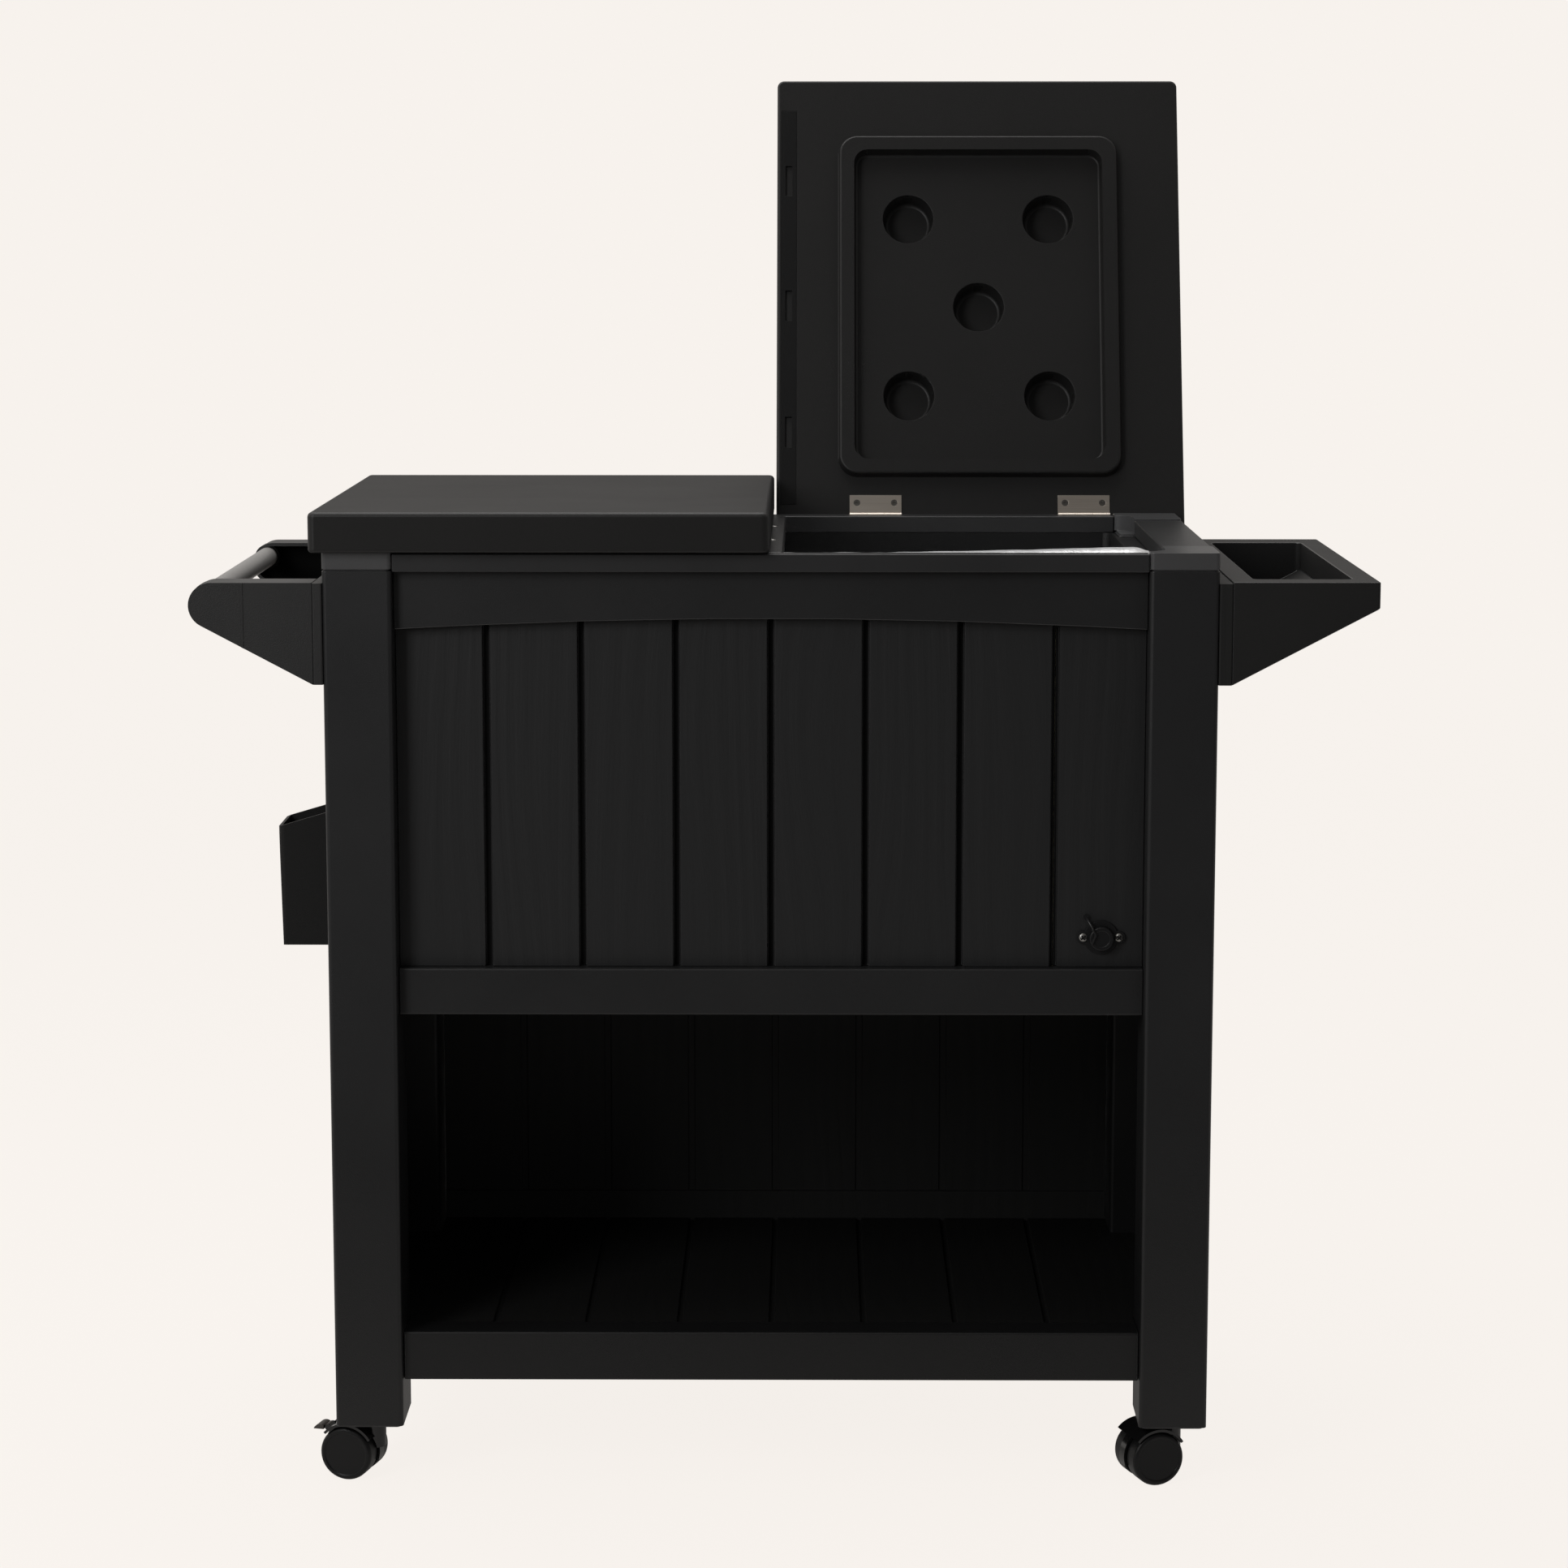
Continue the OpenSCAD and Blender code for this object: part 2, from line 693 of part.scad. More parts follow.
// Four screw places on a mounting board at the right end, their axes outward
module at_board_screws(x, y) {
    for (sy = [-1, 1], dz = [20, board_h - 20])
        translate([x, sy * y, board_z + dz]) rotate([0, 90, 0]) children();
}

module tray_board_panel() {
    color(resin) difference() {
        board(x_end, tray_x0, y_front, y_back, board_z, board_top, board_r);
        at_board_screws(tray_x0 - 3, y_back - leg_d / 2) {
            translate([0, 0, -tray_board]) cylinder(r = 2.4, h = 2 * tray_board);
            cylinder(r = 5, h = 4);
        }
    }
}

module tray() {
    rise = tray_top - tray_lip - board_z;      // climb of the underside across the tray
    slope = rise / tray_w;
    px0 = tray_x0 + tray_rim;
    px1 = tray_x1 - tray_rim;
    py0 = y_front + tray_rim_front;
    py1 = y_back - tray_rim_rear;
    color(resin) difference() {
        intersection() {
            translate([0, y_back, 0]) rotate([90, 0, 0]) linear_extrude(height = body_d)
                polygon([[tray_x0, board_z], [tray_x1, tray_top - tray_lip],
                         [tray_x1, tray_top], [tray_x0, tray_top]]);
            board(tray_x0 - 10, tray_x1, y_front, y_back, board_z - 1, tray_top + 1, tray_r);
        }
        intersection() {
            translate([(px0 + px1) / 2, (py0 + py1) / 2, board_z])
                linear_extrude(height = 2 * board_h) round_rect(px1 - px0, py1 - py0, 6);
            translate([0, y_back, 0]) rotate([90, 0, 0]) linear_extrude(height = body_d)
                polygon([[px0 - 1, board_z + tray_floor + slope * (px0 - 1 - tray_x0)],
                         [px1 + 1, board_z + tray_floor + slope * (px1 + 1 - tray_x0)],
                         [px1 + 1, tray_top + 1], [px0 - 1, tray_top + 1]]);
        }
    }
}

// ---------- handle end ----------

module handle_board_panel() {
    color(resin) difference() {
        board(-x_end - handle_board, -x_end, y_front, y_back, board_z, board_top, board_r);
        mirror([1, 0, 0]) at_board_screws(x_end + handle_board, handle_screw_y)
            translate([0, 0, -2 * handle_board]) cylinder(r = 2.4, h = 3 * handle_board);
    }
}

// Bracket outline in the X-Z plane: a round end drawn into a sloping gusset
module bracket_outline() {
    foot_x = -x_end - handle_board;
    dx = handle_x - foot_x;
    dz = handle_z - board_z;
    reach = sqrt(dx * dx + dz * dz);
    tangent = atan2(dz, dx) + asin(bracket_r / reach);
    run = sqrt(reach * reach - bracket_r * bracket_r);
    translate([handle_x, handle_z]) circle(r = bracket_r);
    polygon([[foot_x, board_z], [foot_x, handle_z + bracket_r], [handle_x, handle_z + bracket_r],
             [handle_x, handle_z], [foot_x + run * cos(tangent), board_z + run * sin(tangent)]]);
}

// A bracket between y0 and y0 + bracket_t. Its seat for the tube opens at open_y.
module bracket(y0, seat_y) {
    color(resin) difference() {
        union() {
            translate([0, y0 + bracket_t, 0]) rotate([90, 0, 0])
                linear_extrude(height = bracket_t) bracket_outline();
            // raised rib across both faces, where the mould halves meet
            intersection() {
                translate([0, y0 + bracket_t + 0.6, 0]) rotate([90, 0, 0])
                    linear_extrude(height = bracket_t + 1.2) bracket_outline();
                box(handle_x + 26.5, handle_x + 28.5, y0 - 1, y0 + bracket_t + 1, board_z, board_top + 1);
            }
        }
        translate([bar_x, seat_y, bar_z]) rotate([-90, 0, 0]) cylinder(d = bar_d + 2 * running, h = bar_seat);
    }
}

module handle_bar() {
    y0 = y_front + bracket_t - bar_seat + clear;
    y1 = y_back - bracket_t + bar_seat - clear;
    color(tube_grey) translate([bar_x, y0, bar_z]) rotate([-90, 0, 0]) difference() {
        cylinder(d = bar_d, h = y1 - y0);
        translate([0, 0, -1]) cylinder(d = bar_d - 3, h = y1 - y0 + 2);
    }
}

// ---------- opener and cap catcher ----------

opener_z = catch_z + catch_h + 96;
opener_w = 36;
opener_h = 64;
opener_t = 2.5;

module opener() {
    mouth_r = 11;
    color(steel) translate([-x_board, 0, opener_z]) {
        difference() {
            rotate([0, -90, 0]) linear_extrude(height = opener_t) round_rect(opener_h, opener_w, 6);
            for (s = [-1, 1])
                translate([1, 0, s * 22]) rotate([0, -90, 0]) cylinder(d = 4.2, h = opener_t + 2);
        }
        // cap-lifting ring, tilted a little from the plate, with its tooth
        translate([-opener_t, 0, -4]) rotate([0, 12, 0]) {
            difference() {
                translate([-mouth_r - 3, 0, 0]) cylinder(r = mouth_r + 4.5, h = 5);
                translate([-mouth_r - 3, 0, -1]) cylinder(r = mouth_r, h = 7);
                translate([0, -30, -10]) cube([40, 60, 30]);
            }
            translate([-2 * mouth_r - 4, -4, -2.5]) cube([5, 8, 3.5]);
        }
    }
}

module catcher() {
    rise = catch_d * tan(catch_slope);
    taper = 3;                              // the front wall leans out towards the mouth
    x0 = -x_board - rail_proud;
    // pad that spaces the catcher off the planks
    color(resin)
        box(x0 - eps, -x_board, -catch_w / 4, catch_w / 4, catch_z + catch_h - 30, catch_z + catch_h - 6);
    color(resin) difference() {
        intersection() {
            translate([0, catch_w / 2, 0]) rotate([90, 0, 0]) linear_extrude(height = catch_w)
                polygon([[x0, catch_z], [x0 - catch_d + taper, catch_z],
                         [x0 - catch_d, catch_z + catch_h], [x0, catch_z + catch_h + rise]]);
            translate([x0 - catch_d / 2 + 6, 0, catch_z - 1])
                linear_extrude(height = catch_h + rise + 2) round_rect(catch_d + 12, catch_w, 6);
        }
        translate([0, catch_w / 2 - catch_wall, 0]) rotate([90, 0, 0])
            linear_extrude(height = catch_w - 2 * catch_wall)
                polygon([[x0 - catch_wall, catch_z + catch_wall],
                         [x0 - catch_d + taper + catch_wall, catch_z + catch_wall],
                         [x0 - catch_d + catch_wall, catch_z + catch_h + rise + 1],
                         [x0 - catch_wall, catch_z + catch_h + rise + 1]]);
        // the mouth slopes down from the wall
        translate([0, catch_w, 0]) rotate([90, 0, 0]) linear_extrude(height = 2 * catch_w)
            polygon([[x0 + 1, catch_z + catch_h + rise + tan(catch_slope)],
                     [x0 - catch_d - 10, catch_z + catch_h - 10 * tan(catch_slope)],
                     [x0 - catch_d - 10, catch_z + catch_h + rise + 9],
                     [x0 + 1, catch_z + catch_h + rise + 9]]);
    }
}

// ---------- drain ----------

drain_plate_t = 2.5;
spout_wall = 2.3;

module spout() {
    color(resin) translate([drain_x, front_face, drain_z]) rotate([90, 0, 0]) difference() {
        union() {
            linear_extrude(height = drain_plate_t) {
                circle(d = plug_knob_d + 9);
                square([drain_screws_span, 12], center = true);
                for (s = [-1, 1]) translate([s * drain_screws_span / 2, 0]) circle(d = 12);
            }
            translate([0, 0, -(tub_y0 - front_face)])
                cylinder(d = spout_d + 2 * spout_wall, h = tub_y0 - front_face + eps);
        }
        translate([0, 0, -(tub_y0 - front_face) - 1])
            cylinder(d = spout_d, h = tub_y0 - front_face + drain_plate_t + 2);
        for (s = [-1, 1])
            translate([s * drain_screws_span / 2, 0, -1]) cylinder(r = 1.9, h = drain_plate_t + 2);
    }
}

plug_knob_h = 8;

module plug_piece() {
    color(soft_black) translate([drain_x, front_face - drain_plate_t - clear, drain_z]) rotate([90, 0, 0]) {
        difference() {
            union() {
                cylinder(d1 = plug_knob_d, d2 = plug_knob_d - 0.6, h = plug_knob_h - 0.8);
                translate([0, 0, plug_knob_h - 0.8])
                    cylinder(d1 = plug_knob_d - 0.6, d2 = plug_knob_d - 2, h = 0.8);
            }
            translate([0, 0, plug_knob_h - 0.8]) cylinder(r = plug_knob_d / 3, h = 2);
        }
        translate([0, 0, -20]) cylinder(d = spout_d - 2 * running, h = 20 + eps);
    }
}

// Round cord between two points
module cord(a, b, r) {
    d = b - a;
    translate(a) rotate([0, acos(d[2] / norm(d)), atan2(d[1], d[0])]) cylinder(r = r, h = norm(d));
    translate(a) sphere(r = r);
}

// Strap from the corner of the drain plate, over the knob's edge to its face
module tether() {
    face = drain_plate_t + clear + plug_knob_h;
    path = [[-13.4, 18.5, 1.6], [-8.2, 9.4, face + 1], [-5.5, 4.2, face + 1.2], [-8.8, -4.6, face + 0.2]];
    color(soft_black) translate([drain_x, front_face, drain_z]) rotate([90, 0, 0]) {
        for (i = [0 : 2]) cord(path[i], path[i + 1], 1.1);
        translate(path[3]) sphere(r = 1.1);
        translate([path[0][0], path[0][1], clear]) cylinder(r = 2.6, h = 2.4);
    }
}

// ---------- screws on the cabinet ----------

module cabinet_fasteners() {
    color(steel) {
        // divider bar
        for (s = [-1, 1]) translate([0, s * divider_screws / 2, rim_top]) screw(8, 1.1, 3.6, 14);
        // drain plate
        for (s = [-1, 1])
            translate([drain_x + s * drain_screws_span / 2, front_face - drain_plate_t, drain_z])
                rotate([90, 0, 0]) screw(8, 2.2, 3.6, panel_t + drain_plate_t - 1);
        // opener
        for (s = [-1, 1])
            translate([-x_board - opener_t, 0, opener_z + s * 22]) rotate([0, -90, 0]) screw(8, 2, 3.8, 8);
        // hinge leaves on the back of the rim
        for (sx = [-1, 1]) at_hinges(sx) for (ss = [-1, 1])
            translate([ss * leaf_screws / 2, y_back + leaf_t, leaf_screw_z])
                rotate([-90, 0, 0]) screw(6.5, 0.9, 3, 14);
        // mounting boards, two screws into each leg
        at_board_screws(tray_x0 - 3, y_back - leg_d / 2) screw(9, 2.4, 4.5, tray_board);
        mirror([1, 0, 0]) at_board_screws(x_end + handle_board, handle_screw_y)
            screw(9, 2.4, 4.5, handle_board + 3.5);
    }
}

// ---------- lids ----------

// Moves what is drawn closed to the open position
module opened() {
    translate([0, hinge_y, hinge_z]) rotate([-lid_open, 0, 0]) translate([0, -hinge_y, -hinge_z]) children();
}

// Cup recess: a drafted well with a round foot, its mouth at z = 0 and its floor above it
module cup_well() {
    rotate_extrude() {
        polygon([[0, -eps], [cup_d / 2, -eps], [cup_floor_d / 2, cup_depth - cup_fillet],
                 [cup_floor_d / 2 - cup_fillet, cup_depth], [0, cup_depth]]);
        translate([cup_floor_d / 2 - cup_fillet, cup_depth - cup_fillet]) circle(r = cup_fillet);
        polygon([[0, -1], [cup_d / 2 + 1, -1], [cup_d / 2, 0.8], [0, 0.8]]);
    }
}

// One lid, closed, with its middle at x = 0
module lid_moulding() {
    difference() {
        union() {
            translate([0, lid_yc, lid_z]) slab(lid_w, lid_d, lid_h, lid_r, lid_edge, lid_under);
            translate([0, lid_yc, lid_z + eps]) mirror([0, 0, 1])
                drafted(plug_w, plug_d, plug_h, plug_r, plug_draft, 2.5);
        }
        // recess inside the ring, opening downward
        translate([0, lid_yc, lid_z - plug_h - eps])
            drafted(plug_w - 2 * plug_ring + 2 * plug_draft, plug_d - 2 * plug_ring + 2 * plug_draft,
                    plug_h + recess_in, plug_r - 6, plug_draft, 2.5);
        for (sx = [-1, 1], sy = [-1, 1])
            translate([sx * cup_px / 2, lid_yc + sy * cup_py / 2, lid_z + recess_in]) cup_well();
        translate([0, lid_yc, lid_z + recess_in]) cup_well();
        // channel for the strip beside the left edge
        translate([-lid_w / 2 + strip_in, lid_y0 + strip_end, lid_z - 1])
            cube([strip_w, lid_d - 2 * strip_end, strip_t + 1]);
    }
}

module strip_piece() {
    difference() {
        translate([-lid_w / 2 + strip_in + 0.2, lid_y0 + strip_end + 0.2, lid_z])
            cube([strip_w - 0.4, lid_d - 2 * strip_end - 0.4, strip_t]);
        for (k = [-1 : 1])
            translate([-lid_w / 2 + strip_in + strip_w / 2, lid_yc + k * slot_pitch, lid_z + strip_t / 2])
                cube([slot_w, slot_len, strip_t + 1], center = true);
    }
}

// The lid's leaf, under the lid, with the middle knuckle. Its middle is at x = 0.
module lid_leaf() {
    knuckle = leaf_w / 3 - clear;
    difference() {
        union() {
            translate([-leaf_w / 2, hinge_y - leaf_reach, lid_z - leaf_t])
                cube([leaf_w, leaf_reach - knuckle_r - clear, leaf_t]);
            translate([-knuckle / 2, hinge_y - knuckle_r - 1, lid_z - leaf_t])
                cube([knuckle, knuckle_r + 1, leaf_t]);
            translate([-knuckle / 2, hinge_y, hinge_z])
                rotate([0, 90, 0]) cylinder(r = knuckle_r, h = knuckle);
        }
        translate([-leaf_w, hinge_y, hinge_z])
            rotate([0, 90, 0]) cylinder(r = pin_r + running, h = 2 * leaf_w);
        // holes with a countersink that takes the whole screw head
        for (s = [-1, 1]) translate([s * leaf_screws / 2, hinge_y - leaf_reach + 8, lid_z - leaf_t - eps]) {
            cylinder(r = 1.7, h = 4);
            cylinder(r1 = 3.5, r2 = 1.9, h = leaf_t - 0.1);
        }
    }
}

// The cabinet's leaf, on the back of the rim, with the two outer knuckles
module cabinet_leaf() {
    third = leaf_w / 3;
    difference() {
        union() {
            translate([-leaf_w / 2, y_back, rim_z + eps])
                cube([leaf_w, leaf_t, hinge_z - knuckle_r - clear - rim_z]);
            for (s = [-1, 1]) translate([s * third - third / 2, y_back, rim_z + 1])
                cube([third, leaf_t, hinge_z - rim_z - 1]);
            for (s = [-1, 1]) translate([s * third - third / 2, y_back, hinge_z - 2])
                cube([third, leaf_t + 0.8, 2]);
            for (s = [-1, 1]) translate([s * third - third / 2, hinge_y, hinge_z])
                rotate([0, 90, 0]) cylinder(r = knuckle_r, h = third);
        }
        translate([-leaf_w, hinge_y, hinge_z])
            rotate([0, 90, 0]) cylinder(r = pin_r + running, h = 2 * leaf_w);
        for (s = [-1, 1])
            translate([s * leaf_screws / 2, y_back - 1, leaf_screw_z])
                rotate([-90, 0, 0]) cylinder(r = 1.7, h = 4);
    }
}

// The two hinges of the lid on one side
module at_hinges(sx) {
    for (x = [hinge_mid, x_leg - hinge_in - leaf_w / 2]) translate([sx * x, 0, 0]) children();
}

// Countersunk screws, flush with the leaf
module leaf_fasteners() {
    for (s = [-1, 1])
        translate([s * leaf_screws / 2, hinge_y - leaf_reach + 8, lid_z - leaf_t]) difference() {
            union() {
                cylinder(r1 = 3.3, r2 = 1.7, h = leaf_t - 0.1);
                cylinder(r = 1.6, h = 12);
            }
            for (a = [0, 90]) rotate(a) translate([-1.9, -0.4, -1]) cube([3.8, 0.8, 1.8]);
        }
}

// ---------- casters ----------

// Puts a caster's parts under a leg, turned about its swivel axis
module under_leg(sx, sy, turn) {
    translate([sx * (x_end - caster_in), sy * (y_back - caster_y), 0]) rotate([0, 0, turn]) children();
}

module socket(sx, sy) {
    inner_w = leg_w - 2 * leg_wall - 2 * 0.1;
    inner_d = leg_d - 2 * leg_wall - 2 * 0.1;
    color(soft_black) difference() {
        translate([sx * (x_end - leg_w / 2), sy * (y_back - leg_d / 2), 0]) {
            translate([0, 0, leg_z - eps])
                linear_extrude(height = stem_len + 4) square([inner_w, inner_d], center = true);
            translate([0, 0, leg_z - socket_lip]) linear_extrude(height = socket_lip)
                round_rect(leg_w - 6, leg_d - 6, leg_r);
        }
        translate([sx * (x_end - caster_in), sy * (y_back - caster_y), leg_z - socket_lip - 1])
            cylinder(r = stem_r + running, h = stem_len + socket_lip + 1);
    }
}

// Wedge from angle a0 to a1 about the Y axis, for cutting a ring to an arc
module wedge(a0, a1, r, w) {
    rotate([90, 0, 0]) linear_extrude(height = w, center = true)
        polygon(concat([[0, 0]],
                       [for (i = [0 : 8]) let (a = a0 + (a1 - a0) * i / 8) [r * cos(a), r * sin(a)]]));
}

module y_cylinder(r, w) {
    rotate([90, 0, 0]) cylinder(r = r, h = w, center = true);
}

module hood(brake) {
    color(soft_black) difference() {
        union() {
            cylinder(r = stem_r, h = leg_z + stem_len - 1);
            difference() {
                union() {
                    translate([0, 0, axle_z + 4]) cylinder(r = column_r, h = column_top - axle_z - 4);
                    // fender over both wheels
                    translate([-trail, 0, axle_z]) intersection() {
                        difference() {
                            y_cylinder(hood_out, caster_w - 1);
                            y_cylinder(hood_in, caster_w + 1);
                        }
                        wedge(32, 138, 2 * hood_out, caster_w + 2);
                    }
                }
                translate([-trail, 0, axle_z]) difference() {
                    y_cylinder(hood_in, 2 * caster_w);
                    y_cylinder(2 * hood_in, web_t);
                }
            }
            // web between the wheels
            intersection() {
                translate([-trail, 0, axle_z]) y_cylinder(hood_in + 1, web_t);
                translate([-trail, -web_t, axle_z - 9]) translate([-60, 0, 0]) cube([120, 2 * web_t, 60]);
            }
            if (brake) lever_ears();
        }
        // the stem ends at the web's lower edge
        translate([0, 0, -eps]) cylinder(r = 2 * column_r, h = axle_z - 9);
        translate([-trail, 0, axle_z]) y_cylinder(axle_r + running, 2 * web_t);
        if (brake) lever_slot();
    }
}

lever_x = -trail + lever_arm * cos(lever_angle);
lever_z = axle_z + lever_arm * sin(lever_angle);
lever_hub_r = 3.4;
lever_w = 9;

// Ears at the end of the fender, with the pin that the lever turns on
module lever_ears() {
    for (s = [-1, 1]) translate([0, s * (lever_w / 2 + clear + 1), 0]) {
        translate([lever_x, 0, lever_z]) y_cylinder(lever_hub_r - 0.6, 2);
        translate([-trail, 0, axle_z]) rotate([0, -lever_angle + 8, 0])
            translate([hood_in + 0.3, -1, -5]) cube([lever_arm - hood_in, 2, 8]);
    }
    translate([lever_x, 0, lever_z]) y_cylinder(lever_pin_r, lever_w + 2);
}

module lever_slot() {
    translate([lever_x, 0, lever_z]) difference() {
        y_cylinder(lever_hub_r + clear, lever_w + 2 * clear);
        y_cylinder(lever_pin_r, lever_w + 3);
    }
}

module wheel_pair() {
    inner = web_t / 2 + 0.7;
    width = caster_w / 2 - inner;
    color(soft_black) translate([-trail, 0, axle_z]) {
        for (s = [-1, 1]) rotate([s * 90, 0, 0]) translate([0, 0, inner])
            rotate_extrude() {
                // disc with a soft outer edge and a shallow dish on its face
                polygon([[0, 0], [wheel_d / 2 - 1, 0], [wheel_d / 2, 1], [wheel_d / 2, width - 3.5],
                         [wheel_d / 2 - 1, width - 1.3], [wheel_d / 2 - 3.2, width],
                         [wheel_d / 2 - 4.6, width], [wheel_d / 2 - 5.2, width - 0.9], [0, width - 0.9]]);
            }
        y_cylinder(axle_r, 2 * inner + 2);
    }
}

module brake_lever() {
    reach = 7;
    color("#4c4844") difference() {
        union() {
            translate([lever_x, 0, lever_z]) {
                y_cylinder(lever_hub_r, lever_w);
                translate([-reach, -lever_w / 2, -1.6]) cube([reach, lever_w, 3.2]);
            }
            // thumb paddle, domed on top
            translate([lever_x - reach, 0, lever_z - 1.6]) intersection() {
                translate([0, 0, -2.5]) y_cylinder(7, 17);
                translate([-20, -10, 0]) cube([23.5, 20, 10]);
            }
        }
        translate([lever_x, 0, lever_z]) y_cylinder(lever_pin_r + running, 2 * lever_w);
    }
}

leg(-1, -1);  // leg_front_left
leg(1, -1);  // leg_front_right
leg(-1, 1);  // leg_rear_left
leg(1, 1);  // leg_rear_right
cap(-1, -1);  // cap_front_left
cap(1, -1);  // cap_front_right
cap(-1, 1);  // cap_rear_left
cap(1, 1);  // cap_rear_right
rim_bar_front();  // rim_front
rim_bar_rear();  // rim_rear
rim_bar_end(-1);  // rim_left
rim_bar_end(1);  // rim_right
tub_shell();  // tub
foam_jacket();  // insulation
divider_panel();  // divider
for (s = [0, 1]) mirror([s, 0, 0]) liner_bag();  // liners
front_plank_board(-x_leg + clear, board_joint - clear / 2);  // front_planks
front_plank_board(board_joint + clear / 2, x_leg - clear);  // front_plank_drain
front_arched_rail();  // front_top_rail
front_rail();  // front_lower_rail
back_panel();  // rear_panel
end_panel(-1);  // end_panel_left
end_panel(1);  // end_panel_right
deck_board();  // deck
shelf_board();  // shelf_floor
shelf_front_rail();  // shelf_rail
tray_board_panel();  // tray_board_plate
tray();  // side_tray
handle_board_panel();  // handle_board_plate
bracket(y_front, y_front + bracket_t - bar_seat);  // handle_bracket_front
bracket(y_back - bracket_t, y_back - bracket_t);  // handle_bracket_rear
handle_bar();  // handle_tube
opener();  // bottle_opener
catcher();  // cap_catcher
spout();  // drain_spout
plug_piece();  // drain_plug
tether();  // drain_tether
cabinet_fasteners();  // cabinet_screws
color(steel) for (sx = [-1, 1]) at_hinges(sx) cabinet_leaf();  // hinge_leaves_cabinet
color(steel) for (sx = [-1, 1]) at_hinges(sx)  // hinge_pins
        translate([-leaf_w / 2 - 0.6, hinge_y, hinge_z])
            rotate([0, 90, 0]) cylinder(r = pin_r, h = leaf_w + 1.2);
color(resin_lid) translate([-lid_xc, 0, 0]) lid_moulding();  // lid_left
color(resin_lid) opened() translate([lid_xc, 0, 0]) lid_moulding();  // lid_right
color(resin_lid) translate([-lid_xc, 0, 0]) strip_piece();  // lid_strip_left
color(resin_lid) opened() translate([lid_xc, 0, 0]) strip_piece();  // lid_strip_right
color(steel) at_hinges(-1) lid_leaf();  // hinge_leaves_left
color(steel) opened() at_hinges(1) lid_leaf();  // hinge_leaves_right
color(steel) at_hinges(-1) leaf_fasteners();  // hinge_screws_left
color(steel) opened() at_hinges(1) leaf_fasteners();  // hinge_screws_right
for (sx = [-1, 1], sy = [-1, 1]) socket(sx, sy);  // caster_sockets
under_leg(-1, -1, turn_fl) hood(true);  // caster_hood_front_left
under_leg(1, -1, turn_fr) hood(false);  // caster_hood_front_right
under_leg(-1, 1, turn_rl) hood(true);  // caster_hood_rear_left
under_leg(1, 1, turn_rr) hood(false);  // caster_hood_rear_right
under_leg(-1, -1, turn_fl) wheel_pair();  // caster_wheels_front_left
under_leg(1, -1, turn_fr) wheel_pair();  // caster_wheels_front_right
under_leg(-1, 1, turn_rl) wheel_pair();  // caster_wheels_rear_left
under_leg(1, 1, turn_rr) wheel_pair();  // caster_wheels_rear_right
under_leg(-1, -1, turn_fl) brake_lever();  // brake_lever_front_left
under_leg(-1, 1, turn_rl) brake_lever();  // brake_lever_rear_left
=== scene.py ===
# A portable bar: charcoal resin cabinet on casters, two flip lids over an ice tub, a push
# handle at the left end, a tray at the right end, a cap catcher, a drain and an open shelf.
import math
import random

import bmesh
import bpy
from mathutils import Euler, Matrix, Vector, noise


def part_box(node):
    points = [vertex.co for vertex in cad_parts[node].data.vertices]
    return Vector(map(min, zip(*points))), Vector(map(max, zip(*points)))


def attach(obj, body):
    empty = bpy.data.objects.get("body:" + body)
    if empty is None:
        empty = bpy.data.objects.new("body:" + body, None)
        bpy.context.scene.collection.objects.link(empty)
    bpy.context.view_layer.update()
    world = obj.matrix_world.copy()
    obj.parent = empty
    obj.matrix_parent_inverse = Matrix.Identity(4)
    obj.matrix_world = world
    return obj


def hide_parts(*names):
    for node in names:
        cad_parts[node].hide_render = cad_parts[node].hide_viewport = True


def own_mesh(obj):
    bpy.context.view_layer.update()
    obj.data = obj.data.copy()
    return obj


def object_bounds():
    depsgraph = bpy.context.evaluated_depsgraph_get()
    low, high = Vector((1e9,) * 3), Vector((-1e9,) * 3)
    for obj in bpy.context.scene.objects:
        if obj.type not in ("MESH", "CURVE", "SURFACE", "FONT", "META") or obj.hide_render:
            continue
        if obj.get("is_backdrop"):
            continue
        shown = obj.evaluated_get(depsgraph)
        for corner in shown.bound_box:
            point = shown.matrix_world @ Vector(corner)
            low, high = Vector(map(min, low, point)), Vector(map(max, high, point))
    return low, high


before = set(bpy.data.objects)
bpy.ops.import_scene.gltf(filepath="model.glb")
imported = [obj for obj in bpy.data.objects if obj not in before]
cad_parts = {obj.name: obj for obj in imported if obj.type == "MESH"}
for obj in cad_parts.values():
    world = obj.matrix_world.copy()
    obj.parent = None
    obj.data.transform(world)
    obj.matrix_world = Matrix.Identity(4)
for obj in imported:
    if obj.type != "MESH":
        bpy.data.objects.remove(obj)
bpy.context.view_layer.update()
MM = 0.001


# Camera
# A long lens stands a little above the bar top and looks slightly down, so that the tops of
# the lids and the tray show and the upright lines draw together towards the floor.
def stand(name, data):
    """Makes an object and stands it in the scene."""
    made = bpy.data.objects.new(name, data)
    bpy.context.scene.collection.objects.link(made)
    return made


camera_place = (37.206 * MM, -3688.72 * MM, 1173.08 * MM)
camera_down = 8.4916
camera_left = 0.41594
sensor_width = 36.0
focal_length = 89.6845

camera = stand("camera", bpy.data.cameras.new("camera"))
camera.data.sensor_width = sensor_width
camera.data.lens = focal_length
camera.location = camera_place
camera.rotation_euler = (math.radians(90 - camera_down), 0, math.radians(camera_left))
bpy.context.scene.camera = camera


